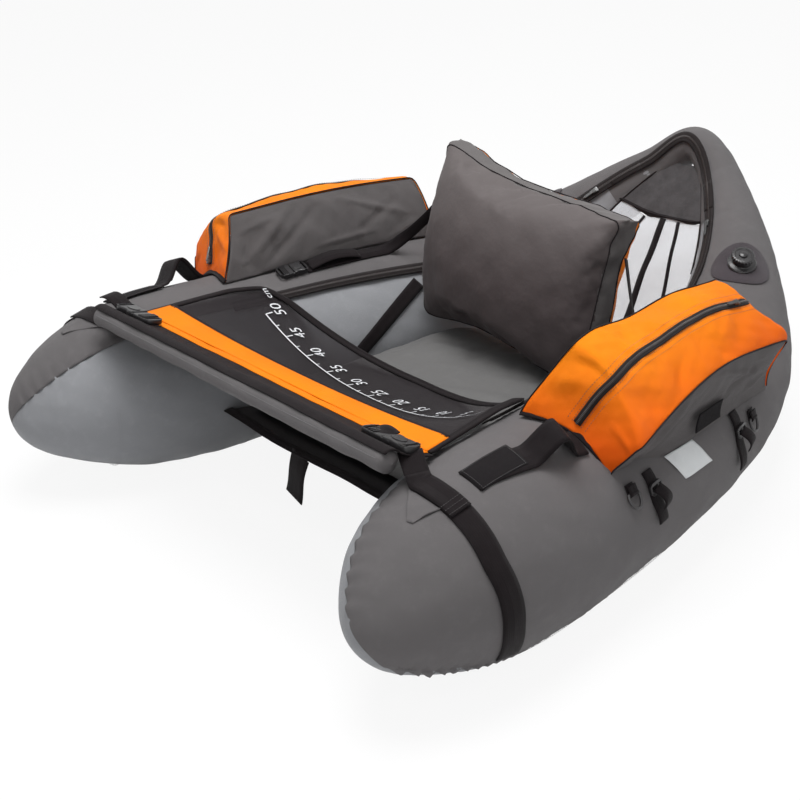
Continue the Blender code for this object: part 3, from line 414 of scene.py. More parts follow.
def cloth_finish(name, colour, shade, thread, roughness, crumple, mottle=18.0, worn=None,
                 sheen=0.04, painted_shade_below=None):
    """Woven cloth: threads from the cut's own UVs, uneven dye, soft crumples and rubbed spots.

    The last argument, where given, is painted shade: the darker colour that the cloth turns to
    below, where less light falls, and the two heights between which it turns.
    """
    finish = Finish(name, Sheen_Weight=sheen, Sheen_Roughness=0.5, Specular_IOR_Level=0.12)
    across, along, _ = finish.parts(finish.place("UV"))
    weave = (across.cycle(thread) * along.cycle(thread)) * 0.5 + 0.5
    patchy = finish.noise(mottle, 5.0, 0.6)
    rubbed = finish.between(finish.noise(mottle * 3.1, 4.0, 0.7), 0.52, 0.72)
    base = finish.mix(patchy, shade, colour)
    base = finish.mix(weave * 0.28, base, shaded(colour, 0.55))
    base = finish.mix(rubbed * 0.12, base, worn or tuple(min(c * 1.5, 0.9) for c in colour))
    # Painted shade: below the given heights the colour fades to a darker one, as if less light fell
    # there.
    if painted_shade_below:
        painted_shade_colour, low, high = painted_shade_below
        height = finish.parts(finish.place())[2]
        base = finish.mix(finish.between(height, low, high, 0.85, 0.0), base, painted_shade_colour)
    finish.surface(base, finish.between(patchy, 0.3, 0.7, roughness - 0.10, roughness + 0.10))
    finish.relief((finish.noise(38.0, 3.0, 0.5), crumple), (weave, thread * 0.35))
    return finish


cover_finish = cloth_finish(
    "cover_cloth", (0.132, 0.124, 0.126), (0.104, 0.098, 0.100), 0.0012, 0.62, 0.0008)
hull_finish = cloth_finish(
    "hull_coated_cloth", (0.285, 0.290, 0.305), (0.235, 0.240, 0.253), 0.0010, 0.50, 0.0008)
bladder_finish = cloth_finish(
    "bladder_film", (0.42, 0.43, 0.45), (0.36, 0.37, 0.39), 0.0030, 0.30, 0.0010)


def tube_stations(count, last=0.9985):
    """Stations that crowd at the nose and the stern, where the tube turns in."""
    way = np.linspace(0.0, 1.0, count)
    nose = nose_share * (1 - np.cos(np.clip(way / nose_rows_share, 0, 1) * math.pi / 2))
    rest = nose_share + (last - nose_share) * np.sin(
        np.clip((way - nose_rows_share) / (1 - nose_rows_share), 0, 1) * math.pi / 2)
    return np.where(way < nose_rows_share, nose, rest)[:, None]


def seam_puckers(share, gap, strength):
    """Small tucks beside a seam that is drawn up round the nose."""
    run = share * hull_length
    nose = near(share, 0.045, 0.075) + 0.25
    tucks = np.sin(run * math.tau / pucker_pitch + 1.7 * np.sin(run * 31.0))
    return strength * pucker_height * nose * tucks * np.exp(-np.abs(gap) / 0.018)


for side_name, side in SIDES:
    stations = tube_stations(tube_rows)
    radius = np.maximum(tube_size(stations), 0.002)
    taper = np.clip(radius / 0.05, 0.0, 1.0)
    first, last = inner_seam(stations), outer_seam(stations)
    scallop = scallop_height * np.abs(np.sin(stations * hull_length * math.pi / scallop_pitch))
    last = last + scallop * near(stations, 0.05, 0.10) / radius
    angles = first + np.linspace(0.0, 1.0, 72)[None, :] * (last - first)
    lower_gap, upper_gap = (last - angles) * radius, (angles - first) * radius
    plain = on_tube(side, stations, angles)
    lift = taper * (
        0.0011 * waves(11 + side, plain, 0.16) + 0.0005 * waves(21 + side, plain, 0.05)
        + seam_puckers(stations, lower_gap, 1.3) + seam_puckers(stations, upper_gap, 0.8))
    lift = lift + 0.0010 * (lower_gap < tube_hem) * taper - 0.0004
    dress(woven(f"cover_{side_name}", on_tube(side, stations, angles, lift), cover_finish,
                side < 0, cloth_wall), f"tube_cover_{side_name}")

    start = np.maximum(outer_seam(stations) - tube_overlap / radius, 1.2)
    end = np.minimum(math.tau + inner_seam(stations) + 0.004 / radius, 5.9)
    angles = start + np.linspace(0.0, 1.0, 56)[None, :] * (end - start)
    plain = on_tube(side, stations, angles)
    gap = (angles - outer_seam(stations)) * radius
    lift = taper * (
        0.0009 * waves(31 + side, plain, 0.14) + 0.0006 * waves(33 + side, plain, 0.045)
        + seam_puckers(stations, gap, 1.6)) - 0.0022
    dress(woven(f"hull_{side_name}", on_tube(side, stations, angles, lift), hull_finish,
                side < 0, thin_wall), f"tube_hull_{side_name}")
    skin = on_tube(
        side, tube_stations(bladder_rows), np.linspace(0.0, math.tau, 49)[None, :], -bladder_gap)
    dress(woven(f"bladder_film_{side_name}", skin, bladder_finish, side < 0),
          f"bladder_{side_name}")


# Stitches and zip teeth: one lockstitch thread and one nylon coil, repeated along
# the line that each seam or zip follows.
stitch_size, stitch_pitch = (0.0030, 0.0008, 0.0007), 0.0042
fine_stitch_size, fine_stitch_pitch = (0.0026, 0.0008, 0.0007), 0.0034


def build_row_tree():
    """A tree that lays one small rounded unit along a line at a pitch."""
    tree = bpy.data.node_groups.new("row_along_seam", "GeometryNodeTree")
    tree.interface.new_socket("Line", in_out="INPUT", socket_type="NodeSocketGeometry")
    for label in ("Pitch", "Length", "Width", "Height"):
        tree.interface.new_socket(label, in_out="INPUT", socket_type="NodeSocketFloat")
    tree.interface.new_socket("Finish", in_out="INPUT", socket_type="NodeSocketMaterial")
    tree.interface.new_socket("Row", in_out="OUTPUT", socket_type="NodeSocketGeometry")
    row = Nodes(tree)
    given = {
        socket.name: Wire(row, socket) for socket in tree.nodes.new("NodeGroupInput").outputs}
    line = row.node("GeometryNodeMeshToCurve", None, {0: given["Line"]})
    spots = row.node("GeometryNodeResampleCurve", {"mode": "LENGTH"}, {
        "Curve": line, "Length": given["Pitch"]})
    grain = row.node("GeometryNodeMeshUVSphere", None, {"Segments": 6, "Rings": 4, "Radius": 0.5})
    facing = row.node("GeometryNodeInputNamedAttribute", {"data_type": "FLOAT_VECTOR"}, {
        "Name": "facing"})
    turning = row.node("FunctionNodeAxesToRotation", {"primary_axis": "Z", "secondary_axis": "X"}, {
        0: facing, 1: row.node("GeometryNodeInputTangent")})
    size = row.node("ShaderNodeCombineXYZ", None, {
        "X": given["Length"], "Y": given["Width"], "Z": given["Height"]})
    spread = row.node("GeometryNodeInstanceOnPoints", None, {
        "Points": spots, "Instance": grain, "Rotation": turning, "Scale": size})
    dressed = row.node("GeometryNodeSetMaterial", None, {
        "Geometry": row.node("GeometryNodeRealizeInstances", None, {0: spread}),
        "Material": given["Finish"]})
    row.plug(tree.nodes.new("NodeGroupOutput").inputs[0], dressed)
    return tree


row_tree = build_row_tree()


def evaluated(piece):
    """The object as its modifiers leave it."""
    return piece.evaluated_get(bpy.context.evaluated_depsgraph_get())


def real_mesh(guide, keep=False):
    """The mesh that a curve, a text or modifiers make; the guide itself goes unless kept."""
    bpy.context.view_layer.update()
    mesh = bpy.data.meshes.new_from_object(evaluated(guide))
    if not keep:
        bpy.data.objects.remove(guide)
    return mesh


def row_along(name, lines, facings, finish, slot, pitch=stitch_pitch, size=stitch_size):
    """Small units in rows along several lines, as one plain mesh."""
    facings = [np.broadcast_to(facing, line.shape) for line, facing in zip(lines, facings)]
    edges, start = [], 0
    for line in lines:
        edges += [(start + i, start + i + 1) for i in range(len(line) - 1)]
        start += len(line)
    mesh = mesh_of(name, np.concatenate(lines), [], edges)
    away = mesh.attributes.new("facing", "FLOAT_VECTOR", "POINT")
    away.data.foreach_set("vector", np.concatenate(facings).astype(float).reshape(-1))
    guide = add_object(name + "_line", mesh)
    row = guide.modifiers.new("row", "NODES")
    row.node_group = row_tree
    values = dict(zip(("Pitch", "Length", "Width", "Height"), map(float, (pitch, *size))))
    values["Finish"] = finish.material
    for item in row_tree.interface.items_tree:
        if item.in_out == "INPUT" and item.name in values:
            row[item.identifier] = values[item.name]
    return dress(add_piece(name, real_mesh(guide), finish))


def sewn_on_tube(name, side, spots, lift, finish, slot, **stitch):
    """Stitches along lines of (station, angle) on a tube."""
    return row_along(
        name, [on_tube(side, *spot, lift) for spot in spots],
        [off_tube(side, *spot) for spot in spots], finish, slot, **stitch)


def thread_finish(name, colour):
    """Twisted thread: fine strands with a slight shine."""
    finish = Finish(name, Specular_IOR_Level=0.4, Sheen_Weight=0.2)
    strands = finish.noise(900.0, 2.0)
    finish.surface(
        finish.mix(strands, shaded(colour, 0.6), colour),
        finish.between(strands, 0.3, 0.7, 0.45, 0.65))
    finish.relief((strands, 0.0002))
    return finish


dark_thread = thread_finish("dark_thread", (0.060, 0.056, 0.058))
grey_thread = thread_finish("grey_thread", (0.20, 0.20, 0.21))
black_thread = thread_finish("black_thread", (0.018, 0.017, 0.018))
hull_cuts = ((0.115, 0.004), (0.300, -0.003), (0.520, 0.003), (0.735, -0.004))

for side_name, side in SIDES:
    shares = np.linspace(0.012, 0.975, 420)
    radius = np.maximum(tube_size(shares), 0.02)
    sewn_on_tube(
        f"cover_hem_stitches_{side_name}", side,
        [(shares, outer_seam(shares) - gap / radius) for gap in (0.004, 0.009)],
        0.0008, dark_thread, "cover_fabric")
    spots = []
    for share, shift in hull_cuts:
        angle = np.linspace(float(outer_seam(share)) + 0.05, 4.9, 60)
        spots += [(share + (gap + shift * np.sin(angle * 1.3)) / hull_length, angle)
                  for gap in (-0.0016, 0.0016)]
    sewn_on_tube(
        f"hull_cross_seams_{side_name}", side, spots, -0.0013, grey_thread, "hull_vinyl")


# Main zips: black coil zips sewn over the inner top seam of each tube, through
# which the bladder goes in; each slider is parked near the stern.
zip_start_share, zip_end_share, zip_parked_share = 0.30, 0.955, 0.915
zip_width, zip_wall = 0.018, 0.0014
zip_coil_lift, zip_coil_pitch, zip_coil_size = 0.0011, 0.0021, (0.0014, 0.0056, 0.0017)
zip_stitch_gap = 0.0066
slider_size = (0.012, 0.009, 0.0044)
strap_wall = 0.0018
skyward = np.array((0.0, 0.0, 1.0))


def webbing_finish(name, colour, rib=0.0016, roughness=0.62):
    """Ribbed webbing with two woven edge cords, from the strap's own UVs."""
    finish = Finish(name, Sheen_Weight=0.04, Sheen_Roughness=0.4, Specular_IOR_Level=0.07)
    across, along, _ = finish.parts(finish.place("UV"))
    slant = (across.size() * 1.2 + along).cycle(rib) * 0.5 + 0.5
    cords = across.cycle(rib * 1.9) * 0.5 + 0.5
    dust = finish.between(finish.noise(60.0, 4.0, 0.65), 0.45, 0.75)
    base = finish.mix(slant, shaded(colour, 0.45), colour)
    finish.surface(
        finish.mix(dust * 0.25, base, shaded(colour, 1.5, 0.002)),
        finish.between(slant, 0.0, 1.0, roughness + 0.12, roughness - 0.08))
    finish.relief((finish.noise(30.0), 0.0008), (slant * 0.7 + cords * 0.3, rib * 0.22))
    return finish


strap_finish = webbing_finish("black_webbing", (0.0125, 0.0095, 0.0105))
tape_finish = webbing_finish("zip_tape", (0.022, 0.018, 0.018), 0.0011)


def ribbon(name, centres, facings, width, node=None, wall=strap_wall, columns=5, edge_dip=0.0,
           flip=False, body="hull", finish=strap_finish):
    """A flat strap along a line, lying square to the facing directions."""
    facings = np.broadcast_to(facings, centres.shape)
    across = unit(np.cross(unit(np.gradient(centres, axis=0)), facings))
    way = np.linspace(-0.5, 0.5, columns)[None, :, None]
    width = np.broadcast_to(width, len(centres))[:, None, None]
    points = centres[:, None] + across[:, None] * way * width
    points = points - facings[:, None] * edge_dip * (2 * way) ** 4
    return dress(woven(name, points, finish, flip, wall, middle=True), node, body)


def moulded_finish(name, colour, roughness):
    """Moulded plastic: fine spark-eroded grain and a few rubbed, shinier spots."""
    finish = Finish(name, Specular_IOR_Level=0.5)
    rubbed = finish.between(finish.noise(90.0, 4.0, 0.7), 0.50, 0.70)
    finish.surface(
        finish.mix(rubbed * 0.4, colour, shaded(colour, 1.6, 0.012)),
        finish.between(rubbed, 0.0, 1.0, roughness + 0.06, roughness - 0.10))
    finish.relief((finish.noise(700.0, 2.0), 0.00012))
    return finish


def metal_finish(name, first, second, scales, roughness):
    """Metal with uneven tone and a fine brushed grain."""
    finish = Finish(name, Metallic=1.0)
    tone, wear, grain = (finish.noise(scale) for scale in scales)
    finish.surface(
        finish.mix(tone, first, second), finish.between(wear, 0.3, 0.7, *roughness))
    finish.relief((grain, 0.0001))
    return finish


coil_finish = moulded_finish("zip_coil", (0.034, 0.027, 0.026), 0.40)
slider_finish = metal_finish(
    "slider_metal", (0.12, 0.12, 0.12), (0.07, 0.07, 0.07), (120.0, 260.0, 500.0), (0.25, 0.5))


def seat_of(origin, x_way, z_way):
    """A placing matrix from an origin, an X direction and a rough Z direction."""
    x_axis = Vector(x_way).normalized()
    y_axis = Vector(z_way).cross(x_axis).normalized()
    turn = Matrix((x_axis, y_axis, x_axis.cross(y_axis))).transposed().to_4x4()
    return Matrix.Translation(Vector(origin)) @ turn


def spot_on(side, share, angle, step):
    """A place on a tube, its outward direction and the way of a step along the tube."""
    share, angle = np.array([share]), np.array([angle])
    foot = on_tube(side, share, angle)[0]
    return foot, off_tube(side, share, angle)[0], on_tube(side, share + step, angle)[0] - foot


def box_middle(node):
    low, high = (Vector(corner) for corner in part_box(node))
    return (low + high) / 2


def lifted(place, height):
    return place @ Matrix.Translation((0, 0, height))


def flat_cut(name, outline, wall, place, finish, node=None, body="hull", hole=(),
             bevel=0.0006):
    """A flat plate cut to an outline, with eased edges, placed by a matrix."""
    curve = bpy.data.curves.new(name, "CURVE")
    curve.dimensions, curve.fill_mode = "2D", "BOTH"
    curve.extrude = wall / 2 - bevel
    curve.bevel_depth, curve.offset = bevel, -bevel
    curve.bevel_resolution = 1
    for loop in filter(None, (outline, hole)):
        spline = curve.splines.new("POLY")
        spline.points.add(len(loop) - 1)
        for knot, point in zip(spline.points, loop):
            knot.co = (*point, 0.0, 1.0)
        spline.use_cyclic_u = True
    mesh = real_mesh(add_object(name, curve))
    mesh.transform(place)
    piece = add_piece(name, mesh, finish)
    mesh.set_sharp_from_angle(angle=math.radians(35))
    return dress(piece, node, body)


def face_outward(mesh, weld=0.0):
    """Turns a mesh's faces outward, once points within the weld distance are joined."""
    bm = bmesh.new()
    bm.from_mesh(mesh)
    if weld:
        bmesh.ops.remove_doubles(bm, verts=bm.verts, dist=weld)
    bmesh.ops.recalc_face_normals(bm, faces=bm.faces)
    bm.to_mesh(mesh)
    bm.free()


def pull_cord(name, points, radius, finish, node=None, body="hull", sides=8, closed=False):
    """A round cord, wire or piping along points."""
    points = np.asarray(points, float)
    if closed:
        tangent = unit(np.roll(points, -1, 0) - np.roll(points, 1, 0))
    else:
        tangent = unit(np.gradient(points, axis=0))
    across = [unit(np.cross(tangent[0], (0.31, 0.22, 0.93)))]
    for way in tangent[1:]:
        across.append(unit(across[-1] - way * np.dot(across[-1], way)))
    across = np.array(across)[:, None]
    upward = np.cross(tangent, across[:, 0])[:, None]
    turn = np.linspace(0.0, math.tau, sides, endpoint=False)[None, :, None]
    verts = points[:, None] + (across * np.cos(turn) + upward * np.sin(turn)) * radius
    faces = grid_faces(len(points), sides, closed, True).tolist()
    if not closed:
        last = len(points) * sides
        faces += [list(range(sides))[::-1], list(range(last - sides, last))]
    mesh = mesh_of(name, verts, faces)
    face_outward(mesh)
    return dress(add_piece(name, mesh, finish), node, body)


def zip_pull(kind, side_name, place):
    """A zip slider, rounded from a cut cube, and a flat pull that lies along the zip."""
    bm = bmesh.new()
    bmesh.ops.create_cube(bm, size=1.0)
    bmesh.ops.subdivide_edges(bm, edges=bm.edges, cuts=3, use_grid_fill=True)
    for vert in bm.verts:
        squeeze = 1.0 - 0.3 * (vert.co.x + 0.5)
        grow = [0.5 * math.copysign((abs(v) * 2) ** 0.55, v) for v in vert.co]
        vert.co = Vector(g * s for g, s in zip(grow, slider_size))
        vert.co.y *= squeeze
    name, node = f"{kind}_slider_body_{side_name}", f"{kind}_slider_{side_name}"
    mesh = bpy.data.meshes.new(name)
    bm.to_mesh(mesh)
    bm.free()
    mesh.transform(place)
    slider = add_piece(name, mesh, slider_finish)
    rounding = slider.modifiers.new("rounding", "SUBSURF")
    rounding.levels = rounding.render_levels = 2
    dress(slider, node, node)
    outline = [(-0.002, -0.0030), (0.020, -0.0024), (0.024, 0.0), (0.020, 0.0024), (-0.002, 0.0030)]
    leaning = lifted(place, 0.0030) @ Matrix.Rotation(math.radians(6), 4, "Y")
    flat_cut(name + "_pull", outline, 0.0018, leaning, slider_finish, body=node)


for side_name, side in SIDES:
    shares = np.linspace(zip_start_share, zip_end_share, 180)
    angle = inner_seam(shares)
    away = off_tube(side, shares, angle)
    line = on_tube(side, shares, angle, 0.0036)
    ribbon(f"main_zip_tape_{side_name}", line, away, zip_width, f"main_zipper_{side_name}",
           zip_wall, 7, 0.0012, finish=tape_finish)
    row_along(f"main_zip_coil_{side_name}", [line + away * zip_coil_lift], [away], coil_finish,
              "zip_tape", zip_coil_pitch, zip_coil_size)
    sewn_on_tube(
        f"main_zip_stitches_{side_name}", side,
        [(shares, angle + gap / tube_size(shares)) for gap in (-zip_stitch_gap, zip_stitch_gap)],
        0.0042, black_thread, "zip_tape")
    _, away, ahead = spot_on(side, zip_parked_share, inner_seam(zip_parked_share), -0.01)
    zip_pull("main_zip", side_name, seat_of(box_middle(f"main_zip_slider_{side_name}"), ahead, away))


# Between the tubes: a black sling under the seat, an open white mesh behind it, and
# a sewn grey panel up to the stern, all hung from the tubes' inner sides.
deck_stations = (0.20, 0.30, 0.45, 0.62, 0.80, 0.92, 1.0)
deck_angle = smooth_curve(deck_stations, (-1.66, -1.76, -1.90, -1.92, -1.78, -1.55, -1.40))
deck_sag = smooth_curve(deck_stations, np.array(
    (0.010, 0.030, 0.055, 0.070, 0.150, 0.035, 0.0)) * stern_height)
deck_seams = (0.2532, 0.6588, 0.6606, 0.9265, 0.9764)
sling_slack, cargo_slack = (0.0018, 0.12), (0.0045, 0.075)
deck_wall = 0.0014


def on_deck(share, across, lift=0.0):
    """Points of the hanging decks; across runs -1 to 1 from tube to tube."""
    share, across, lift = np.broadcast_arrays(share, across, lift)
    edge = on_tube(1, share, deck_angle(share), -0.0040)
    drop = deck_sag(share) * (1 - across ** 2)
    return stacked(edge[..., 0] * across, edge[..., 1], edge[..., 2] - drop + lift)


def deck_ripple(share, across, ripple, pitch):
    """Slack swells, away from the seams."""
    return (1 - across ** 4) * ripple * waves(41, on_deck(share, across), pitch)


def deck_cloth(name, first, last, slack, finish, slot, node, wall=0.0):
    """One sheet hung between the tubes."""
    share, across = shares_to(60, last, first), np.linspace(-1.0, 1.0, 60)[None, :]
    points = on_deck(share, across, deck_ripple(share, across, *slack))
    return dress(woven(name, points, finish, False, wall, middle=True), node)


def net_finish(name, colour, hole, open_share, roughness=0.7):
    """Knitted net: round holes through the threads, from the cut's own UVs."""
    finish = Finish(name, Sheen_Weight=0.04, Specular_IOR_Level=0.1)
    across, along, _ = finish.parts(finish.place("UV"))
    holes = across.cycle(hole) * (along + across * 0.5).cycle(hole)
    thread = finish.between(holes.size(), open_share, open_share + 0.25, 1.0, 0.0)
    strands = finish.noise(240.0, 3.0)
    finish.surface(
        finish.mix(strands, shaded(colour, 0.75), colour),
        finish.between(strands, 0.3, 0.7, roughness - 0.1, roughness + 0.1))
    finish.plug(finish.shader.inputs["Alpha"], thread)
    finish.relief((finish.noise(26.0), 0.0015), (thread, hole * 0.2))
    return finish


sling_finish = cloth_finish(
    "sling_cloth", (0.022, 0.019, 0.020), (0.013, 0.011, 0.012), 0.0011, 0.70, 0.0012)
white_net = net_finish("white_net", (0.58, 0.60, 0.63), 0.0032, 0.62)
stern_finish = cloth_finish(
    "stern_cloth", (0.100, 0.095, 0.098), (0.012, 0.010, 0.011), 0.0012, 0.65, 0.0014, 40.0)
sling = deck_cloth(
    "seat_sling_cloth", *deck_seams[:2], sling_slack, sling_finish, "sling_fabric", "seat_sling",
    deck_wall)
cargo = deck_cloth(
    "cargo_net", *deck_seams[2:4], cargo_slack, white_net, "white_mesh", "cargo_mesh")
share, across = shares_to(16, deck_seams[4], deck_seams[3]), np.linspace(-1.0, 1.0, 24)[None, :]
stern_points = on_deck(share, across, 0.0015 * waves(43, on_deck(share, across), 0.03))
stern = dress(
    woven("stern_cloth_panel", stern_points, stern_finish, False, deck_wall, middle=True),
    "stern_panel")

across_deck = np.linspace(-0.99, 0.99, 24)
for tape_name, shares, across, width in (
        ("stern_hem", 0.9285, across_deck, 0.010),
        ("cargo_front_hem", 0.6620, across_deck, 0.014),
        ("sling_front_hem", 0.2552, across_deck, 0.016),
        ("cargo_tape_middle", np.linspace(0.925, 0.700, 24), 0.10, 0.012),
        ("cargo_tape_left", np.linspace(0.925, 0.690, 24),
         lambda s: -0.35 - 0.25 * np.sin((0.925 - s) * 11), 0.007),
        ("cargo_tape_right", np.linspace(0.925, 0.720, 24),
         lambda s: 0.45 + 0.2 * np.sin((0.925 - s) * 9), 0.006)):
    shares, across = np.broadcast_arrays(shares, across(shares) if callable(across) else across)
    slack = cargo_slack if "cargo" in tape_name else sling_slack
    centre = on_deck(shares, across, deck_ripple(shares, across, *slack) + 0.0018)
    ribbon(tape_name, centre, skyward, width, None, cloth_wall, 4, 0.0004)


def both_sides(rows, middle):
    """Rows on the right tube, a middle row, and the same rows in mirror on the left."""
    return np.concatenate([rows, middle, (rows * (-1, 1, 1))[::-1]])


rise_stations = np.array((0.925, 0.945, 0.962))
flank_size = tube_size(rise_stations) - 0.0006
peak_knots = both_sides(spine(rise_stations), [[0.0, 0.5270, 0.3800]])
peak_sizes = np.concatenate([flank_size, [0.0290], flank_size[::-1]])
knot_places = np.concatenate([[0], np.cumsum(np.linalg.norm(np.diff(peak_knots, axis=0), axis=1))])
peak_way = np.linspace(0.0, knot_places[-1], 70)
peak_line = np.stack([smooth_curve(knot_places, peak_knots[:, i])(peak_way) for i in range(3)], -1)
peak_radius = smooth_curve(knot_places, peak_sizes)(peak_way)
tangent = unit(np.gradient(peak_line, axis=0))
level = unit(np.cross(tangent, (0.0, 0.45, -0.90)))
upward = np.cross(tangent, level)
turn = np.linspace(0.0, math.tau, 41)[None, :, None]
peak_points = peak_line[:, None] + peak_radius[:, None, None] * (
    level[:, None] * np.cos(turn) + upward[:, None] * np.sin(turn))
dress(woven("peak_cover", peak_points, cover_finish))
peak_ways = both_sides(
    off_tube(1, rise_stations, inner_seam(rise_stations)), [[0.0, -0.80, 0.60]])
zip_way = unit(np.stack([np.interp(peak_way, knot_places, peak_ways[:, i]) for i in range(3)], -1))
joined_line = peak_line + zip_way * (peak_radius + 0.0042)[:, None]
ribbon("peak_zip_tape", joined_line, zip_way, zip_width, None, zip_wall, 7, 0.0012,
       finish=tape_finish)
row_along("peak_zip_coil", [joined_line + zip_way * zip_coil_lift], [zip_way], coil_finish,
          "zip_tape", zip_coil_pitch, zip_coil_size)
for side_name, side in SIDES:
    edge = on_deck(np.linspace(0.88, 0.978, 50), side * 0.955, 0.0014)
    pull_cord(f"stern_edge_piping_{side_name}", edge, 0.0018, tape_finish)


# Seat: a soft foam pad in a sewn cloth case, lying on the sling between the tubes.
seat_front, seat_rear = -0.2450 * hull_length, 0.1361 * hull_length
seat_top = 0.163
pad_cuts = 26


def fine_cage(shape):
    """A finely cut cube shaped by shape(a, b, c) from -1 to 1, and its plain points."""
    bm = bmesh.new()
    bmesh.ops.create_cube(bm, size=2.0)
    bmesh.ops.subdivide_edges(bm, edges=bm.edges, cuts=pad_cuts, use_grid_fill=True)
    cube = np.array([tuple(vert.co) for vert in bm.verts])
    for vert, point in zip(bm.verts, shape(*cube.T)):
        vert.co = Vector(point)
    if bm.calc_volume(signed=True) < 0:
        bmesh.ops.reverse_faces(bm, faces=bm.faces)
    bm.normal_update()
    return bm, cube


def mesh_points(mesh, facing=False):
    """A mesh's points, or the directions that they face."""
    values = np.zeros(len(mesh.vertices) * 3, np.float32)
    if facing:
        mesh.vertex_normals.foreach_get("vector", values)
    else:
        mesh.vertices.foreach_get("co", values)
    return values.reshape(-1, 3).astype(float)


def move_points(mesh, points):
    mesh.vertices.foreach_set("co", points.astype(np.float32).reshape(-1))
    mesh.update()


def push_out(mesh, amount):
    """Move a mesh's points along their normals."""
    move_points(mesh, mesh_points(mesh) + mesh_points(mesh, True) * np.asarray(amount)[:, None])


def creases(points, folds, ends=0.06, power=0.6):
    """Heights of folds, each a start, an end, a width and a depth, fading at its ends."""
    total = 0.0
    for start, end, width, depth in folds:
        start, end = np.array(start, float), np.array(end, float)
        way = end - start
        along = np.clip((points - start) @ way / (way @ way), 0.0, 1.0)
        gap = np.linalg.norm(points - start - along[..., None] * way, axis=-1)
        fade = np.sin(np.clip(along, ends, 1 - ends) * math.pi) ** power
        total = total + depth * np.exp(-(gap / width) ** 2) * fade
    return total


def stuffed(name, shape, finish, cap, draw_in, voxel=0.007, pressure=4.0, steps=20):
    """A pad blown out by a cloth simulation from its cut shape, with each point's move held to a cap.
    """
    bm, _ = fine_cage(shape)
    mesh = bpy.data.meshes.new(name)
    bm.to_mesh(mesh)
    bm.free()
    push_out(mesh, np.full(len(mesh.vertices), -draw_in))
    pad = add_piece(name, mesh, finish)
    remesh = pad.modifiers.new("remesh", "REMESH")
    remesh.mode = "VOXEL"
    remesh.voxel_size = voxel
    fresh = real_mesh(pad, keep=True)
    pad.modifiers.clear()
    pad.data = fresh
    before = mesh_points(fresh)
    cloth = pad.modifiers.new("blow", "CLOTH")
    cloth.settings.use_pressure = True
    cloth.settings.uniform_pressure_force = pressure
    cloth.settings.effector_weights.gravity = 0.0
    cloth.settings.quality = 5
    cloth.settings.mass = 0.25
    cloth.settings.tension_stiffness = cloth.settings.compression_stiffness = 18.0
    cloth.settings.bending_stiffness = 0.6
    cloth.point_cache.frame_start = 1
    cloth.point_cache.frame_end = steps
    for step in range(1, steps + 1):
        bpy.context.scene.frame_set(step)
    move = mesh_points(evaluated(pad).to_mesh()) - before
    pad.modifiers.clear()
    bpy.context.scene.frame_set(1)
    length = np.maximum(np.linalg.norm(move, axis=1, keepdims=True), 1e-9)
    move_points(fresh, before + move * (np.minimum(length, cap) / length))
    fresh.materials.clear()
    fresh.materials.append(finish.material)
    fresh.shade_smooth()
    return pad


def soften(pad, swell):
    """A pad's swells and folds pressed into it, under a smoother surface."""
    push_out(pad.data, swell)
    soft = pad.modifiers.new("soft", "SUBSURF")
    soft.levels = soft.render_levels = 1


def seat_shape(a, b, c):
    """The seat cushion: a across, b front to rear, c from the sling up."""
    y = seat_front + (b + 1) / 2 * (seat_rear - seat_front)
    y = y - 0.008 * b * (1 - a * a) * np.abs(b)
    share = y / hull_length + 0.5
    reach = spine_x(share) - full_radius(share) - 0.006
    x = a * (reach - 0.008 * (1 - b * b) * np.abs(a))
    edge = on_tube(1, share, deck_angle(share), 0.0004)
    bottom = on_deck(share, np.minimum(np.abs(x) / edge[:, 0], 1.0))[:, 2] + 0.0032
    top = seat_top - 0.016 * (a ** 4 + b ** 4)
    return stacked(x, y, bottom + (c + 1) / 2 * (top - bottom))


seat_finish = cloth_finish(
    "seat_cloth", (0.125, 0.123, 0.122), (0.095, 0.093, 0.092), 0.0012, 0.72, 0.0018, 10.0)
seat_folds = [
    (start, end, 0.012, depth) for start, end, depth in (
        ((-0.13, 0.02, 0.16), (-0.02, 0.06, 0.165), -0.004),
        ((0.05, 0.00, 0.16), (0.15, 0.06, 0.16), -0.004),
        ((-0.06, 0.055, 0.16), (0.00, 0.015, 0.165), -0.0035),
        ((0.03, 0.065, 0.16), (0.07, 0.020, 0.165), -0.0035),
        ((0.10, 0.065, 0.16), (0.16, 0.025, 0.160), -0.0035),
        ((-0.10, -0.05, 0.16), (0.02, -0.02, 0.165), 0.003),
        ((0.02, -0.10, 0.16), (0.14, -0.04, 0.16), 0.003))]
seat = stuffed("seat_pad", seat_shape, seat_finish, 0.006, 0.005)
points = mesh_points(seat.data)
swell = (0.0022 * waves(51, points, 0.15) + 0.0010 * waves(52, points, 0.045)
         + creases(points, seat_folds))
soften(seat, swell * np.clip(mesh_points(seat.data, True)[:, 2], 0.0, 1.0))
dress(seat, "seat_cushion")


# Backrest: a pillow with a gusset all round, dark cloth in front, orange behind,
# its seams piped in black; it stands on the seat and leans back.
back_y, back_foot = 0.0690 * hull_length, seat_top + 0.051
back_seat = (Matrix.Translation((0.0, back_y, back_foot))
             @ Matrix.Rotation(math.radians(-17), 4, "X")
             @ Matrix.Rotation(math.radians(4.5), 4, "Y"))
back_turn = np.array(back_seat)
back_low, back_high, back_gusset = 0.0540, 0.236, 0.052
back_foot_share, back_head_share = 0.3031, 0.3752


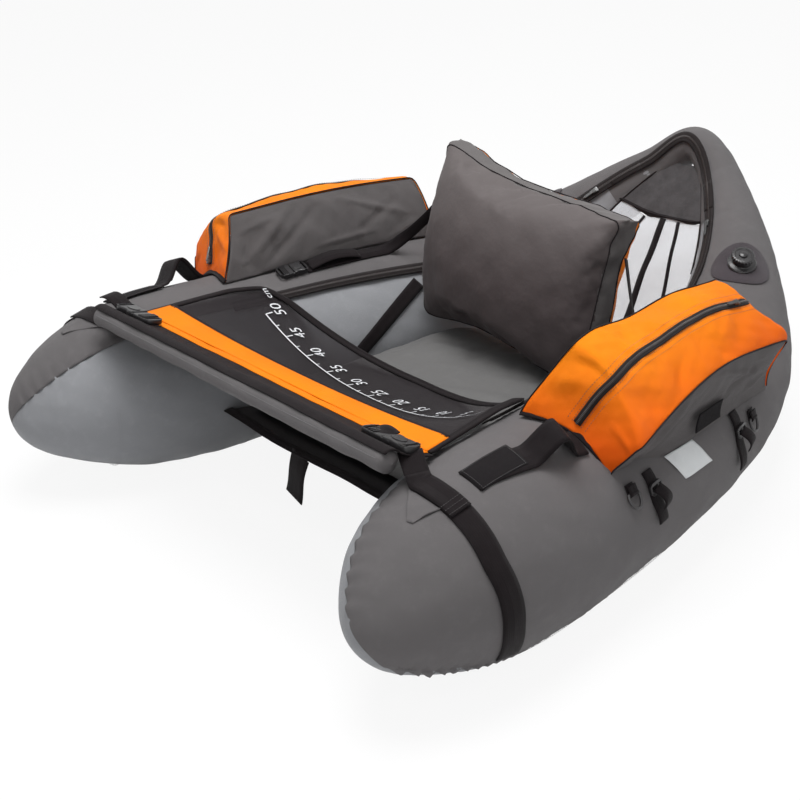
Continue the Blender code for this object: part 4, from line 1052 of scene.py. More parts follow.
def back_shape(a, b, c):
    """The backrest's sewn shape: a across, b front to rear, c upwards, from -1 to 1."""
    height = -back_low + (c + 1) / 2 * (back_high + back_low)
    flare = np.clip((height + back_low) / (back_low + 0.055), 0.0, 1.0)
    half = half_beam * (
        back_foot_share + (back_head_share - back_foot_share) * np.sin(flare * math.pi / 2))
    x = a * (half - 0.010 * (1 - c * c) * np.abs(a))
    height = height - 0.010 * c * np.abs(c) * (1 - a * a)
    dome = (np.maximum(1 - a * a, 0.0) * np.maximum(1 - c * c, 0.0)) ** 0.62
    thick = 0.006 + b * (back_gusset / 2 - 0.004 + 0.054 * dome)
    slump = near(a, 1.0, 0.35) * near(c, 1.0, 0.35)
    local = stacked(x, thick, height - 0.010 * slump)
    return local @ back_turn[:3, :3].T + back_turn[:3, 3]


# The backrest's front cloth carries painted shade: it darkens from 0.43 m down to 0.30 m high.
back_finish_with_painted_shade = cloth_finish(
    "backrest_cloth_painted_shade", (0.112, 0.100, 0.099), (0.086, 0.074, 0.074), 0.0011, 0.70, 0.0016, 9.0,
    painted_shade_below=((0.052, 0.041, 0.042), 0.30, 0.43))
gusset_finish = cloth_finish(
    "gusset_cloth", (0.120, 0.112, 0.111), (0.090, 0.083, 0.083), 0.0011, 0.68, 0.0014, 12.0)
orange_cloth = ((0.95, 0.285, 0.006), (0.84, 0.150, 0.002), 0.0011, 0.60, 0.0012, 9.0,
                (0.93, 0.32, 0.03), 0.0)
orange_finish = cloth_finish("orange_cloth", *orange_cloth)
back_folds = (
    ((0.19, -0.02, 0.20), (0.06, -0.05, 0.16), 0.010, -0.005),
    ((0.19, -0.02, 0.13), (0.05, -0.05, 0.11), 0.011, -0.004),
    ((0.18, -0.02, 0.06), (0.06, -0.05, 0.07), 0.010, -0.004),
    ((0.17, -0.02, 0.01), (0.07, -0.05, 0.04), 0.009, -0.003),
    ((0.19, -0.02, 0.165), (0.09, -0.05, 0.14), 0.008, 0.003),
    ((-0.18, -0.02, 0.21), (-0.10, -0.05, 0.17), 0.010, -0.003),
    ((-0.10, -0.02, -0.045), (-0.08, -0.05, 0.02), 0.008, -0.004),
    ((-0.02, -0.02, -0.045), (-0.01, -0.05, 0.015), 0.008, -0.004),
    ((0.07, -0.02, -0.045), (0.05, -0.05, 0.02), 0.008, -0.004),
    ((0.13, -0.02, -0.045), (0.12, -0.05, 0.01), 0.008, -0.003),
    ((0.19, 0.03, 0.22), (0.19, -0.02, 0.17), 0.008, -0.006),
    ((0.17, 0.03, 0.235), (0.12, -0.01, 0.215), 0.008, -0.004))
back = stuffed("backrest_pad", back_shape, back_finish_with_painted_shade, 0.014, 0.002)
points = mesh_points(back.data)
local = (points - back_turn[:3, 3]) @ back_turn[:3, :3]
soften(back, 0.0016 * waves(61, points, 0.13) + 0.0008 * waves(62, points, 0.04)
       + creases(local, back_folds))

bm, cube = fine_cage(back_shape)
finder = KDTree(len(cube))
for i, vert in enumerate(bm.verts):
    finder.insert(vert.co, i)
finder.balance()
bm.free()
side_of = np.where(cube[:, 1] < -0.999, 0, np.where(cube[:, 1] > 0.999, 2, 1))
for finish in (gusset_finish, orange_finish):
    back.data.materials.append(finish.material)
for face in back.data.polygons:
    face.material_index = int(side_of[finder.find(face.center)[1]])
dress(back, "backrest_cushion", "backrest")


def rest_on_pad(pad, points, lift):
    """Points moved onto a pad's own surface, and a little off it."""
    settled = evaluated(pad)
    spots = [settled.closest_point_on_mesh(Vector(point))[1:3] for point in points]
    return np.array([tuple(spot + normal * lift) for spot, normal in spots])


def smoothed(line, passes, middle=2, closed=False):
    """A line's points evened out a few times; an open line keeps its ends."""
    line = np.array(line)
    for _ in range(passes):
        even = (np.roll(line, 1, 0) + middle * line + np.roll(line, -1, 0)) / (middle + 2)
        if not closed:
            even[[0, -1]] = line[[0, -1]]
        line = even
    return line


piping_finish = webbing_finish("black_piping", (0.018, 0.015, 0.016), 0.0012)
turn = np.linspace(0.0, math.tau, 240, endpoint=False)
rim_a, rim_c = (
    0.998 * np.sign(wave) * np.abs(wave) ** (2 / 9.0) for wave in (np.cos(turn), np.sin(turn)))
for rim_name, rim_depth in (("front", -1.0), ("rear", 1.0)):
    rim = rest_on_pad(back, back_shape(rim_a, np.full_like(turn, rim_depth), rim_c), 0.0004)
    rim = rest_on_pad(back, smoothed(rim, 4, closed=True), 0.0005)
    pull_cord(f"backrest_piping_{rim_name}", rim, 0.0010, piping_finish,
              body="backrest", closed=True)


# Stabiliser bar: an aluminium tube across the bow in a sewn cloth sleeve, whose ends
# sit in cloth pockets on the noses; a webbing band and the apron hang behind it.
bar_y = -0.3838 * hull_length
bar_z = 2 * tube_radius - floor_flat + 0.0026
sleeve_half, sleeve_radius = 0.6118 * half_beam, 0.0153
bar_finish = metal_finish(
    "bar_aluminium", (0.62, 0.63, 0.65), (0.72, 0.73, 0.74), (400.0,) * 3, (0.28, 0.42))
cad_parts["front_bar"].data.materials.clear()
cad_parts["front_bar"].data.materials.append(bar_finish.material)

along_bar, round_bar = shares_to(170, 1.0, -1.0), np.linspace(0.0, math.tau, 33)[None, :]
bar_x = along_bar * (sleeve_half + 0.006)
end_draw = np.clip((1.0 - np.abs(along_bar)) / 0.022, 0.0, 1.0) ** 0.5
bar_swell = 0.0007 * waves(
    71, stacked(bar_x, np.cos(round_bar) * 0.02, np.sin(round_bar) * 0.02), 0.05)
bar_ring = (sleeve_radius + bar_swell) * np.maximum(end_draw, 0.02)
sleeve_points = stacked(
    bar_x, bar_y + np.cos(round_bar) * bar_ring, bar_z + np.sin(round_bar) * bar_ring)
dress(woven("bar_sleeve_cloth", sleeve_points, cover_finish, True), "bar_sleeve")
x = np.linspace(-sleeve_half + 0.01, sleeve_half - 0.01, 200)
facings = [np.array((0.0, math.cos(angle), math.sin(angle))) for angle in (0.55, 0.72, 2.60)]
row_along("bar_sleeve_stitches", [stacked(x, bar_y, bar_z) + away * 0.0160 for away in facings],
          facings, grey_thread, "cover_fabric")


def tube_patch(name, side, corners, finish, lift, wall, rows, ripple=0.0):
    """A cloth patch on a tube, between four corners given as length place and angle."""
    first, second, third, fourth = np.array(corners)
    b, a = shares_to(rows)[..., None], np.linspace(0.0, 1.0, rows)[None, :, None]
    spot = (1 - b) * ((1 - a) * first + a * second) + b * ((1 - a) * fourth + a * third)
    share, angle = spot[..., 0] / hull_length + 0.5, spot[..., 1]
    swell = ripple * waves(81, on_tube(side, share, angle, lift), 0.03)
    dress(woven(name, on_tube(side, share, angle, lift + swell), finish, side < 0, wall))


for side_name, side in SIDES:
    tube_patch(
        f"bar_pocket_{side_name}", side,
        [(-0.449, 0.00), (-0.449, 0.08), (-0.400, 0.36), (-0.400, -0.34)],
        cover_finish, 0.0034, 0.0016, 18, 0.0008)

band_front = bar_y + 0.0155
band_rear = band_front + 0.050
band_half = sleeve_half + 0.004
band_front_z, band_rear_z = bar_z - 0.0015, bar_z - 0.0165
band_wrap, band_hump = 0.0172, 0.0088
rest_gap = 0.0018


def tube_top(x, y):
    """Height of the tubes' upper surface over places in plan, or -1 beside them."""
    x, y = np.broadcast_arrays(np.abs(x), y)
    share = y / hull_length + 0.5
    for _ in range(8):
        centre, out, up, radius = tube_frame(np.clip(share, 0.02, 0.98))
        reach = ((x - centre[..., 0]) * out[..., 0] + (y - centre[..., 1]) * out[..., 1]) / radius
        held = np.clip(reach, -0.999, 0.999)
        point = (centre + out * (held * radius)[..., None]
                 + up * (radius * np.sqrt(1 - held ** 2))[..., None])
        share = share + (y - point[..., 1]) / hull_length
    return np.where(np.abs(reach) < 1, point[..., 2], -1.0)


def band_height(x, y):
    along = (y - band_front) / (band_rear - band_front)
    taut = band_front_z + along * (band_rear_z - band_front_z)
    return np.maximum(taut, tube_top(x, y) + rest_gap)


over_bar = shares_to(12, math.radians(-62), math.radians(28))
y = np.concatenate([
    bar_y - band_wrap * np.sin(over_bar), shares_to(24, band_rear, band_front + 0.002)])
rise = np.concatenate([bar_z + band_wrap * np.cos(over_bar), np.zeros((24, 1))])
x, y, rise = np.broadcast_arrays(np.linspace(-band_half, band_half, 150)[None, :], y, rise)
behind_bar = np.clip((band_rear - y) / (band_rear - band_front), 0.0, 1.0) ** 2 * band_hump
band_points = stacked(x, y, np.where(rise > 0, rise, band_height(x, y) + behind_bar))
band_points[..., 2] += 0.0006 * waves(73, band_points, 0.08)
dress(woven("front_band_webbing", band_points, strap_finish, False, strap_wall, middle=True),
      "front_band")
stripe_start = np.argmax(y[:, 0] > bar_y + 0.0485)
folded = band_points[stripe_start:, 2:-2] + skyward * 0.0019
dress(woven("band_stripe_cloth", folded, orange_finish, False, cloth_wall, middle=True))
x = np.linspace(-band_half + 0.006, band_half - 0.006, 200)
lines = [stacked(x, y, band_height(x, y) + 0.0013) for y in (bar_y + 0.0440, bar_y + 0.0465)]
row_along("front_band_stitches", lines, [skyward] * 2, dark_thread, "webbing")


# Apron: black see-through net over the lap, bound all round, with an orange stripe
# and a printed ruler; its front edge is sewn to the band and it turns up from there.
apron_front = band_rear + 0.0012
apron_length, apron_lobe_length = 0.262, 0.213
apron_front_half = band_half - 0.007
apron_rear_half = apron_front_half - 0.042
apron_rest_half, apron_taut_half = 0.4991 * half_beam, 0.300
apron_fullness = 2.3
apron_sag = smooth_curve(
    (0.0, 0.061, 0.156, 0.30, 0.44, 0.64, 1.0),
    np.array((0.0, 0.03, 0.12, 0.42, 0.72, 0.95, 1.0)) * 0.102)


def apron_height(x, y):
    """Height of the apron's cloth over a place in plan."""
    outward = np.minimum(np.abs(x) / apron_taut_half, 1.0)
    drop = apron_sag((y - apron_front) / apron_length) * (1 - outward ** apron_fullness)
    taut = np.maximum(band_rear_z - drop, seat_top + 0.0065)
    return np.maximum(taut, tube_top(x, y) + rest_gap)


def on_apron(across, length_share, lift=0.0, width_share=1.0):
    """Points of the apron, across from 0 to 1 and from its front edge to its rear."""
    half = apron_front_half + length_share * (apron_rear_half - apron_front_half)
    rounding = np.maximum(length_share - 0.8, 0.0) / 0.2
    x = (2 * across - 1) * (half - 0.030 * rounding ** 2) * width_share
    outward = np.minimum(np.abs(x) / apron_rest_half, 1.0)
    cut = (apron_length - apron_lobe_length) * outward ** 2 * length_share ** 3
    y = apron_front + length_share * apron_length - cut
    return stacked(x, y, apron_height(x, y) + lift)


black_net = net_finish("black_net", (0.022, 0.018, 0.020), 0.0026, 0.58)
across, length = np.linspace(0.0, 1.0, 110)[None, :], shares_to(60)
swell = 0.0008 * waves(91, on_apron(across, length), 0.10)
apron = dress(
    woven("apron_net", on_apron(across, length, swell), black_net),
    "apron_mesh", "apron")
stripe_points = on_apron(across, shares_to(12, 0.158, -0.003), 0.0026, 0.985)
stripe = dress(
    woven("apron_stripe_cloth", stripe_points, orange_finish, False, cloth_wall, middle=True),
    "apron_stripe", "apron")
edge = np.array(
    [(0.008, s) for s in np.linspace(0.0, 0.96, 40)]
    + [(0.012 + t * 0.976, 0.978) for t in np.linspace(0.0, 1.0, 90)]
    + [(0.992, s) for s in np.linspace(0.96, 0.0, 40)])
tapes = [
    ribbon(f"apron_{kind}", line, skyward, width, wall=wall, columns=columns, edge_dip=edge_dip,
           body="apron")
    for kind, line, width, wall, columns, edge_dip in (
        ("binding", smoothed(on_apron(*edge.T, 0.0012), 3), 0.013, 0.0026, 5, 0.0006),
        ("front_tape", on_apron(np.linspace(0.0, 1.0, 120), 0.040, -0.0016), 0.020, 0.0014, 5, 0.0),
        ("stripe_tape", on_apron(np.linspace(0.01, 0.99, 120), 0.164, 0.0026), 0.007, cloth_wall,
         4, 0.0))]

print_finish = cloth_finish(
    "white_print", (0.62, 0.63, 0.65), (0.54, 0.55, 0.57), 0.0012, 0.6, 0.0006)
ruler_y, ruler_half, ruler_shift = -0.193, 0.240, -0.006
ruler_step, ruler_marks = 2 * ruler_half / 10, 10
line_half, mark_half, middle_half = 0.0011, 0.0009, 0.0007
mark_height, middle_height, number_height = 0.0125, 0.0065, 0.025


def printed(name, x, y, faces, lift):
    """Flat print laid on the apron, from places in plan."""
    mesh = mesh_of(name, stacked(x, y, apron_height(x, y) + lift), faces)
    dress(add_piece(name, mesh, print_finish), body="apron")


ends = np.linspace(ruler_shift - ruler_half, ruler_shift + ruler_half, 61)
bars = [(low, high, -line_half, line_half) for low, high in zip(ends, ends[1:])]
for mark in range(ruler_marks + 1):
    x = ruler_shift + ruler_half - mark * ruler_step
    bars.append((x - mark_half, x + mark_half, line_half, mark_height))
    if mark < ruler_marks:
        x = x - ruler_step / 2
        bars.append((x - middle_half, x + middle_half, line_half, middle_height))
bars = np.array(bars)
printed("ruler_scale", bars[:, [0, 1, 1, 0]].reshape(-1), ruler_y + bars[:, [2, 2, 3, 3]].reshape(-1),
        np.arange(bars.size).reshape(-1, 4).tolist(), 0.0036)
words = [(str(mark * 5), 0.023, mark * ruler_step, 0.0040) for mark in range(1, ruler_marks + 1)]
words.append(("cm", 0.0145, ruler_marks * ruler_step + 0.0275, 0.0060))
for mark, (word, size, along, lift) in enumerate(words, 1):
    text = bpy.data.curves.new("ruler_word", "FONT")
    text.body, text.size = word, size
    text.align_x = text.align_y = "CENTER"
    text.shear, text.resolution_u = 0.25, 4
    word_mesh = real_mesh(add_object("ruler_word", text))
    bm = bmesh.new()
    bm.from_mesh(word_mesh)
    bmesh.ops.triangulate(bm, faces=bm.faces)
    x, y, _ = np.array([tuple(vert.co) for vert in bm.verts]).T
    faces = [[vert.index for vert in face.verts] for face in bm.faces]
    bm.free()
    printed(f"ruler_number_{mark:02d}", ruler_shift + ruler_half - along - x,
            ruler_y + number_height - y, faces, lift)


# Valves: a glued round patch, a threaded base and a ribbed screw cap on each tube.
valve_share, valve_turn = 0.8630, 0.136
patch_hole, patch_reach = 0.012, 0.046
base_profile = (
    (0.0100, 0.0120), (0.0150, 0.0120), (0.0155, 0.0112), (0.0152, 0.0040), (0.0165, 0.0030),
    (0.0215, 0.0022), (0.0228, 0.0008), (0.0226, -0.0010), (0.0100, -0.0014), (0.0100, 0.0120))
cap_profile = (
    (0.0, 0.0088), (0.0050, 0.0086), (0.0064, 0.0076), (0.0070, 0.0054), (0.0120, 0.0052),
    (0.0132, 0.0064), (0.0164, 0.0062), (0.0182, 0.0050), (0.0186, 0.0014), (0.0178, 0.0002),
    (0.0, 0.0002))
valve_finish = moulded_finish("valve_plastic", (0.010, 0.009, 0.010), 0.26)
patch_finish = cloth_finish(
    "valve_patch_cloth", (0.066, 0.056, 0.063), (0.050, 0.042, 0.048), 0.0014, 0.42, 0.0008)


def lathe(name, profile, place, node, body="hull", steps=48, ribs=0, rib_depth=0.0):
    """A turned valve part from radius and height points, with ribs round its rim if asked."""
    profile = np.array(profile)
    radius, height = profile[:, :1], profile[:, 1:]
    turn = np.linspace(0.0, math.tau, steps, endpoint=False)
    rim = radius > 0.92 * radius.max()
    radius = radius - rim * rib_depth * (0.5 + 0.5 * np.cos(turn * ribs))
    points = stacked(radius * np.cos(turn), radius * np.sin(turn), height)
    mesh = mesh_of(name, points, grid_faces(len(profile), steps, wrap_columns=True).tolist())
    mesh.transform(place)
    face_outward(mesh, 0.00001)
    piece = add_piece(name, mesh, valve_finish)
    mesh.set_sharp_from_angle(angle=math.radians(38))
    dress(piece, node, body)


for side_name, side in SIDES:
    foot, away, ahead = spot_on(side, valve_share, valve_turn, 0.01)
    valve_seat = seat_of(foot, ahead, away)
    ring, spread = np.linspace(0.0, math.tau, 65)[None, :], shares_to(9, patch_reach, patch_hole)
    spot_share = valve_share + spread * np.cos(ring) / np.linalg.norm(ahead) * 0.01
    spot_turn = valve_turn + spread * np.sin(ring) / tube_size(valve_share)
    rise = 0.0040 - 0.0022 * (spread / patch_reach) ** 8
    dress(woven(f"valve_patch_cloth_{side_name}", on_tube(side, spot_share, spot_turn, rise),
                patch_finish, side < 0), f"valve_patch_{side_name}")
    base_node, cap_node = f"valve_base_{side_name}", f"valve_cap_{side_name}"
    base_lift, cap_lift = (
        (valve_seat.inverted() @ box_middle(node)).z for node in (base_node, cap_node))
    lathe(f"valve_body_{side_name}", base_profile, lifted(valve_seat, base_lift - 0.0005), base_node)
    lathe(f"valve_lid_{side_name}", cap_profile, lifted(valve_seat, cap_lift - 0.003), cap_node,
          cap_node, 96, 24, 0.0009)


# Front buckles and straps: moulded side-release buckles join the band to webbing
# that runs over each nose; the spare ends are folded back and sewn.
plastic_finish = moulded_finish("buckle_plastic", (0.010, 0.009, 0.010), 0.30)
buckle_y = band_front + 0.0195
buckle_outer = 0.6174 * half_beam
buckle_split = buckle_outer - 0.047
buckle_inner = buckle_split - 0.044


def rounded_outline(corners, cut, passes):
    """A closed outline with its corners cut off smoothly."""
    points = np.array(corners, float)
    for _ in range(passes):
        after = np.roll(points, -1, 0)
        points = np.stack([points + (after - points) * cut, after - (after - points) * cut], 1)
        points = points.reshape(-1, 2)
    return points.tolist()


def mirrored(half):
    """An outline's one half, and the same half in mirror."""
    return half + [(x, -y) for x, y in half[::-1]]


def side_release(name, place, half_width, socket_node, plug_node, plug_body):
    """Both halves of a side-release buckle on an X axis that points to the socket."""

    def part(kind, corners, wall, bevel, height=0.0, cut=0.2, passes=1, hole=(), node=None,
             body=plug_body):
        outline, gap = ([(x, y * half_width) for x, y in loop] for loop in (corners, hole))
        flat_cut(f"{name}_{kind}", rounded_outline(outline, cut, passes), wall,
                 lifted(place, height), plastic_finish, node, body, gap, bevel)

    part("socket", mirrored(
        [(0.0, -0.86), (0.006, -1.0), (0.016, -0.80), (0.026, -0.94), (0.047, -0.94)]),
        0.0108, 0.0022, 0.0, 0.25, 2, mirrored([(0.036, -0.78), (0.041, -0.78)]), socket_node,
        "hull")
    part("socket_rib", mirrored([(0.004, -0.45), (0.030, -0.55)]), 0.0016, 0.0006, 0.0058, 0.3, 2,
         body="hull")
    part("plug", mirrored([(-0.0437, -0.94), (-0.010, -0.94), (-0.0006, -0.84)]), 0.0080, 0.0016,
         0.0, 0.2, 2, mirrored([(-0.038, -0.76), (-0.032, -0.76)]), plug_node)
    for at, x in enumerate((-0.027, -0.022, -0.017)):
        part(f"plug_rib_{at}", mirrored([(x - 0.0013, -0.86), (x + 0.0013, -0.86)]), 0.0024,
             0.0006, 0.0046)
    for at, way in enumerate((-1, 1)):
        part(f"prong_{at}", [(-0.004, way * 0.86), (0.010, way * 0.93), (0.016, way * 0.84),
                             (0.014, way * 0.62), (-0.004, way * 0.60)], 0.0054, 0.0008)


for side_name, side in SIDES:
    inner, outer = (
        Vector((side * x, buckle_y, float(band_height(x, buckle_y))))
        for x in (buckle_inner, buckle_outer))
    outward = outer - inner
    ahead = Vector((0, band_rear - band_front, band_rear_z - band_front_z))
    upward = outward.cross(ahead) * side
    share = (buckle_split - buckle_inner) / (buckle_outer - buckle_inner)
    split = inner + outward * share + upward.normalized() * 0.0100
    plug_node = f"buckle_plug_{side_name}"
    side_release(f"front_buckle_{side_name}", seat_of(split, outward, upward), 0.016,
                 f"buckle_socket_{side_name}", plug_node, plug_node)

    angles = np.linspace(-0.36, 2.25, 90)
    shares = np.interp(
        angles, (-0.42, 0.10, 1.00, 1.80, 2.25), (0.142, 0.130, 0.1175, 0.1225, 0.1335))
    line, away = on_tube(side, shares, angles, 0.0022)[6:], off_tube(side, shares, angles)[6:]
    head = np.array([side * (buckle_outer - 0.006), buckle_y, split.z - 0.001])
    lead = head + (line[0] - head) * shares_to(10)[:-1]
    line = smoothed(np.concatenate([lead, line]), 4)
    away = unit(np.concatenate([np.repeat([skyward], len(lead), 0), away]))
    ribbon(f"nose_strap_{side_name}", line, away, 0.032, f"tube_strap_{side_name}", columns=6,
           edge_dip=0.0002, flip=side > 0)
    ribbon(f"nose_strap_fold_{side_name}", line[7:30] + away[7:30] * 0.0032, away[7:30], 0.031,
           wall=0.0020, columns=6)
    lines, facings = [], [away[at] for at in (24, 26, 28)]
    for at, facing in zip((24, 26, 28), facings):
        across = unit(np.cross(line[at + 1] - line[at - 1], facing))
        lines.append(line[at] + across * shares_to(12, 0.0145, -0.0145) + facing * 0.0046)
    row_along(f"nose_strap_stitches_{side_name}", lines, facings, dark_thread, "webbing",
              fine_stitch_pitch, fine_stitch_size)
    if side < 0:
        tail_start = split + outward.normalized() * 0.040
        tail_way, tail_rise, tail_bend = (-0.044, -0.004, 0.0), 0.012, 2.2
    else:
        tail_start = inner + upward.normalized() * 0.009 + outward.normalized() * 0.010
        tail_way, tail_rise, tail_bend = (0.034, 0.006, 0.0), 0.006, 3.0
    curl = shares_to(22)
    tail = (np.array(tail_start) + np.array(tail_way) * curl
            + skyward * tail_rise * np.sin(curl * tail_bend))
    ribbon(f"front_strap_tail_{side_name}", tail, skyward, 0.026)


# Rod straps: webbing sewn to the tube that rises into a loop in front of each bag,
# with a hook-and-loop pad on its flat end.
rod_start, rod_end, loop_start, loop_end = 0.1602, 0.3194, 0.2368, 0.3076
rod_loop_height = 0.035
pad_corners = [(-0.372, 0.085), (-0.377, 0.385), (-0.300, 0.412), (-0.294, 0.118)]
pad_seam = np.array(
    [(-0.369, 0.098), (-0.374, 0.372), (-0.303, 0.399), (-0.297, 0.131), (-0.369, 0.098)])
pad_finish = cloth_finish(
    "hook_pad", (0.008, 0.006, 0.007), (0.004, 0.003, 0.004), 0.0017, 0.95, 0.0008, 300.0)
for side_name, side in SIDES:
    way = np.linspace(0.0, 1.0, 90)
    shares, angles = rod_start + way * (rod_end - rod_start), 0.22 + way * 0.25
    rise = np.clip((shares - loop_start) / (loop_end - loop_start), 0.0, 1.0)
    line = on_tube(side, shares, angles, 0.0022 + rod_loop_height * np.sin(rise * math.pi) ** 2)
    tangent, away = unit(np.gradient(line, axis=0)), off_tube(side, shares, angles)
    away = unit(away - tangent * np.sum(away * tangent, 1, keepdims=True))
    ribbon(f"rod_loop_webbing_{side_name}", line, away, 0.040, f"rod_strap_{side_name}", 0.0022, 7,
           0.0006, side > 0)
    ribbon(f"rod_loop_lining_{side_name}", line[48:82] - away[48:82] * 0.0028, away[48:82], 0.038,
           columns=6)
    tube_patch(f"rod_hook_pad_{side_name}", side, pad_corners, pad_finish, 0.0046,
               0.0014, 16)
    spots = np.concatenate([np.linspace(pad_seam[i], pad_seam[i + 1], 24) for i in range(4)])
    sewn_on_tube(
        f"rod_pad_stitches_{side_name}", side, [(spots[:, 0] / hull_length + 0.5, spots[:, 1])],
        0.0049, dark_thread, "webbing", pitch=fine_stitch_pitch, size=fine_stitch_size)


# Side bags: slack cloth pockets on each tube, grey sides and an orange top that runs
# over both ends, closed by a zip along the top; seams piped in black.
bag_front_y, bag_rear_y = -0.1751 * hull_length, 0.1652 * hull_length
bag_height = 0.088
bag_knots = np.linspace(0.0, 1.0, 5)
bag_head = smooth_curve(bag_knots, (0.13, 0.36, 0.58, 0.80, 0.93))
bag_rise = smooth_curve(bag_knots, (1.0, 0.91, 0.77, 0.59, 0.32))
bag_zip_across = 0.42
# The bags' orange top carries painted shade: a deeper, darker red from 0.345 m down to 0.25 m high, on
# the lower front and rear.
bag_orange_finish_with_painted_shade = cloth_finish(
    "bag_orange_cloth_painted_shade", *orange_cloth, ((0.78, 0.085, 0.002), 0.25, 0.345))
bag_finish = cloth_finish(
    "bag_cloth", (0.108, 0.100, 0.100), (0.070, 0.063, 0.064), 0.0012, 0.60, 0.0016, 14.0)
BAG_PULLS = {
    1: (
        ((0.0, 0.0, 0.0), (0.25, 0.22, 0.5), (-0.010, -0.012, 0.000)),
        ((1.0, 0.0, 0.0), (0.25, 0.22, 0.5), (-0.016, 0.004, 0.004)),
        ((0.0, 0.10, 1.0), (0.45, 0.20, 0.5), (0.000, 0.000, 0.016)),
        ((0.0, 1.0, 1.0), (0.40, 0.22, 0.6), (0.012, 0.022, -0.012)),
        ((0.75, 1.0, 1.0), (0.25, 0.16, 0.7), (0.006, 0.030, 0.004)),
        ((0.55, 0.5, 1.0), (0.6, 0.5, 0.8), (0.000, 0.000, 0.006))),
    -1: (
        ((0.0, 0.0, 0.0), (0.25, 0.22, 0.5), (-0.004, -0.010, 0.000)),
        ((0.0, 1.0, 1.0), (0.40, 0.22, 0.6), (0.004, 0.016, -0.004)),
        ((0.50, 0.5, 1.0), (0.45, 0.6, 0.8), (0.000, 0.000, 0.016))),
}
top_folds = (
    ((0.15, 1.10), (0.45, 1.16), 0.05, -0.0040), ((0.10, 1.24), (0.34, 1.22), 0.04, -0.0045),
    ((0.05, 0.80), (0.38, 0.95), 0.06, -0.0035), ((0.60, 1.03), (0.95, 1.18), 0.05, -0.0040),
    ((0.62, 1.40), (0.92, 1.30), 0.04, -0.0030), ((0.60, 1.60), (0.95, 1.66), 0.05, -0.0030),
    ((0.50, 1.80), (0.80, 1.70), 0.04, 0.0035), ((0.12, 1.60), (0.36, 1.70), 0.05, -0.0030),
    ((0.70, 0.60), (0.98, 0.80), 0.06, 0.0030), ((0.10, 0.50), (0.30, 0.75), 0.06, 0.0030))
side_folds = (
    ((0.10, 0.25), (0.34, 0.95), 0.035, 0.0050), ((0.20, 0.15), (0.46, 0.80), 0.03, -0.0040),
    ((0.60, 0.85), (0.88, 0.45), 0.035, 0.0045), ((0.05, 0.70), (0.24, 0.80), 0.04, 0.0030),
    ((0.66, 0.30), (0.86, 0.70), 0.03, -0.0035), ((0.45, 0.20), (0.70, 0.25), 0.03, 0.0030),
    ((0.08, 0.45), (0.14, 0.05), 0.03, -0.0035), ((0.80, 0.10), (0.95, 0.35), 0.03, 0.0030))


def in_bag(side, across, along, rise):
    """A point of a bag's cloth: across, along and up from 0 to 1."""
    across, along, rise = np.broadcast_arrays(across, along, rise)
    spread = np.maximum(along - 0.2, 0.0) / 0.8
    foot = -0.12 + across * (1.03 + 0.17 * spread ** 2 + 0.12)
    height = rise * bag_height * bag_rise(across)
    front = bag_front_y + 0.035 * height / bag_height
    rear = bag_rear_y - 0.030 * height / bag_height
    share = (front + along * (rear - front)) / hull_length + 0.5
    angle = foot + rise * (bag_head(across) - foot)
    puff = 0.006 * np.sin(np.clip(along, 0, 1) * math.pi) ** 0.7 * rise * (1 - (2 * across - 1) ** 4)
    point = on_tube(side, share, angle, 0.0022 + height + puff)
    for (a, b, c), (wide_a, wide_b, wide_c), (dx, dy, dz) in BAG_PULLS[side]:
        weight = near(across, a, wide_a) * near(along, b, wide_b) * near(rise, c, wide_c)
        point = point + weight[..., None] * np.array((side * dx, dy, dz))
    return point


def outer_edge(along, rise):
    """How far across the orange cloth reaches before the grey outer side."""
    reach = 0.80 - 0.15 * np.sin(np.clip(along, 0.0, 1.0) * math.pi) ** 0.8
    return 1.0 - (1.0 - reach) * rise ** 0.6


def over_bag(side, across, path):
    """Points on the orange cloth: up the front (0-1), over (1-2), down the rear (2-3)."""
    along = np.clip(path - 1.0, 0.0, 1.0)
    rise = np.clip(np.minimum(path, 3.0 - path), 0.0, 1.0)
    return in_bag(side, across * outer_edge(along, rise), along, rise)


def cloth_folds(across, along, folds):
    return creases(np.stack(np.broadcast_arrays(across, along), -1), folds, 0.05, 0.5)


def grid_facing(points, flip):
    """Outward directions of a grid of points."""
    normal = unit(np.cross(np.gradient(points, axis=1), np.gradient(points, axis=0)) + 1e-12)
    return -normal if flip else normal


def bag_side(side, outer):
    """A bag's grey outer or inner side, slack and folded."""
    along, rise = shares_to(80), np.linspace(0.0, 1.0, 30)[None, :]
    points = in_bag(side, outer_edge(along, rise) if outer else 0.0, along, rise)
    bulge = 0.007 * np.sin(rise * math.pi) * np.sin(along * math.pi) ** 0.5
    swell = bulge + np.sin(rise * math.pi) ** 0.5 * (
        0.0022 * waves(111 + side + 4 * outer, points, 0.08)
        + 0.0010 * waves(113 + side, points, 0.03)) + cloth_folds(along, rise, side_folds)
    return points + grid_facing(points, (side > 0) == outer) * swell[..., None]


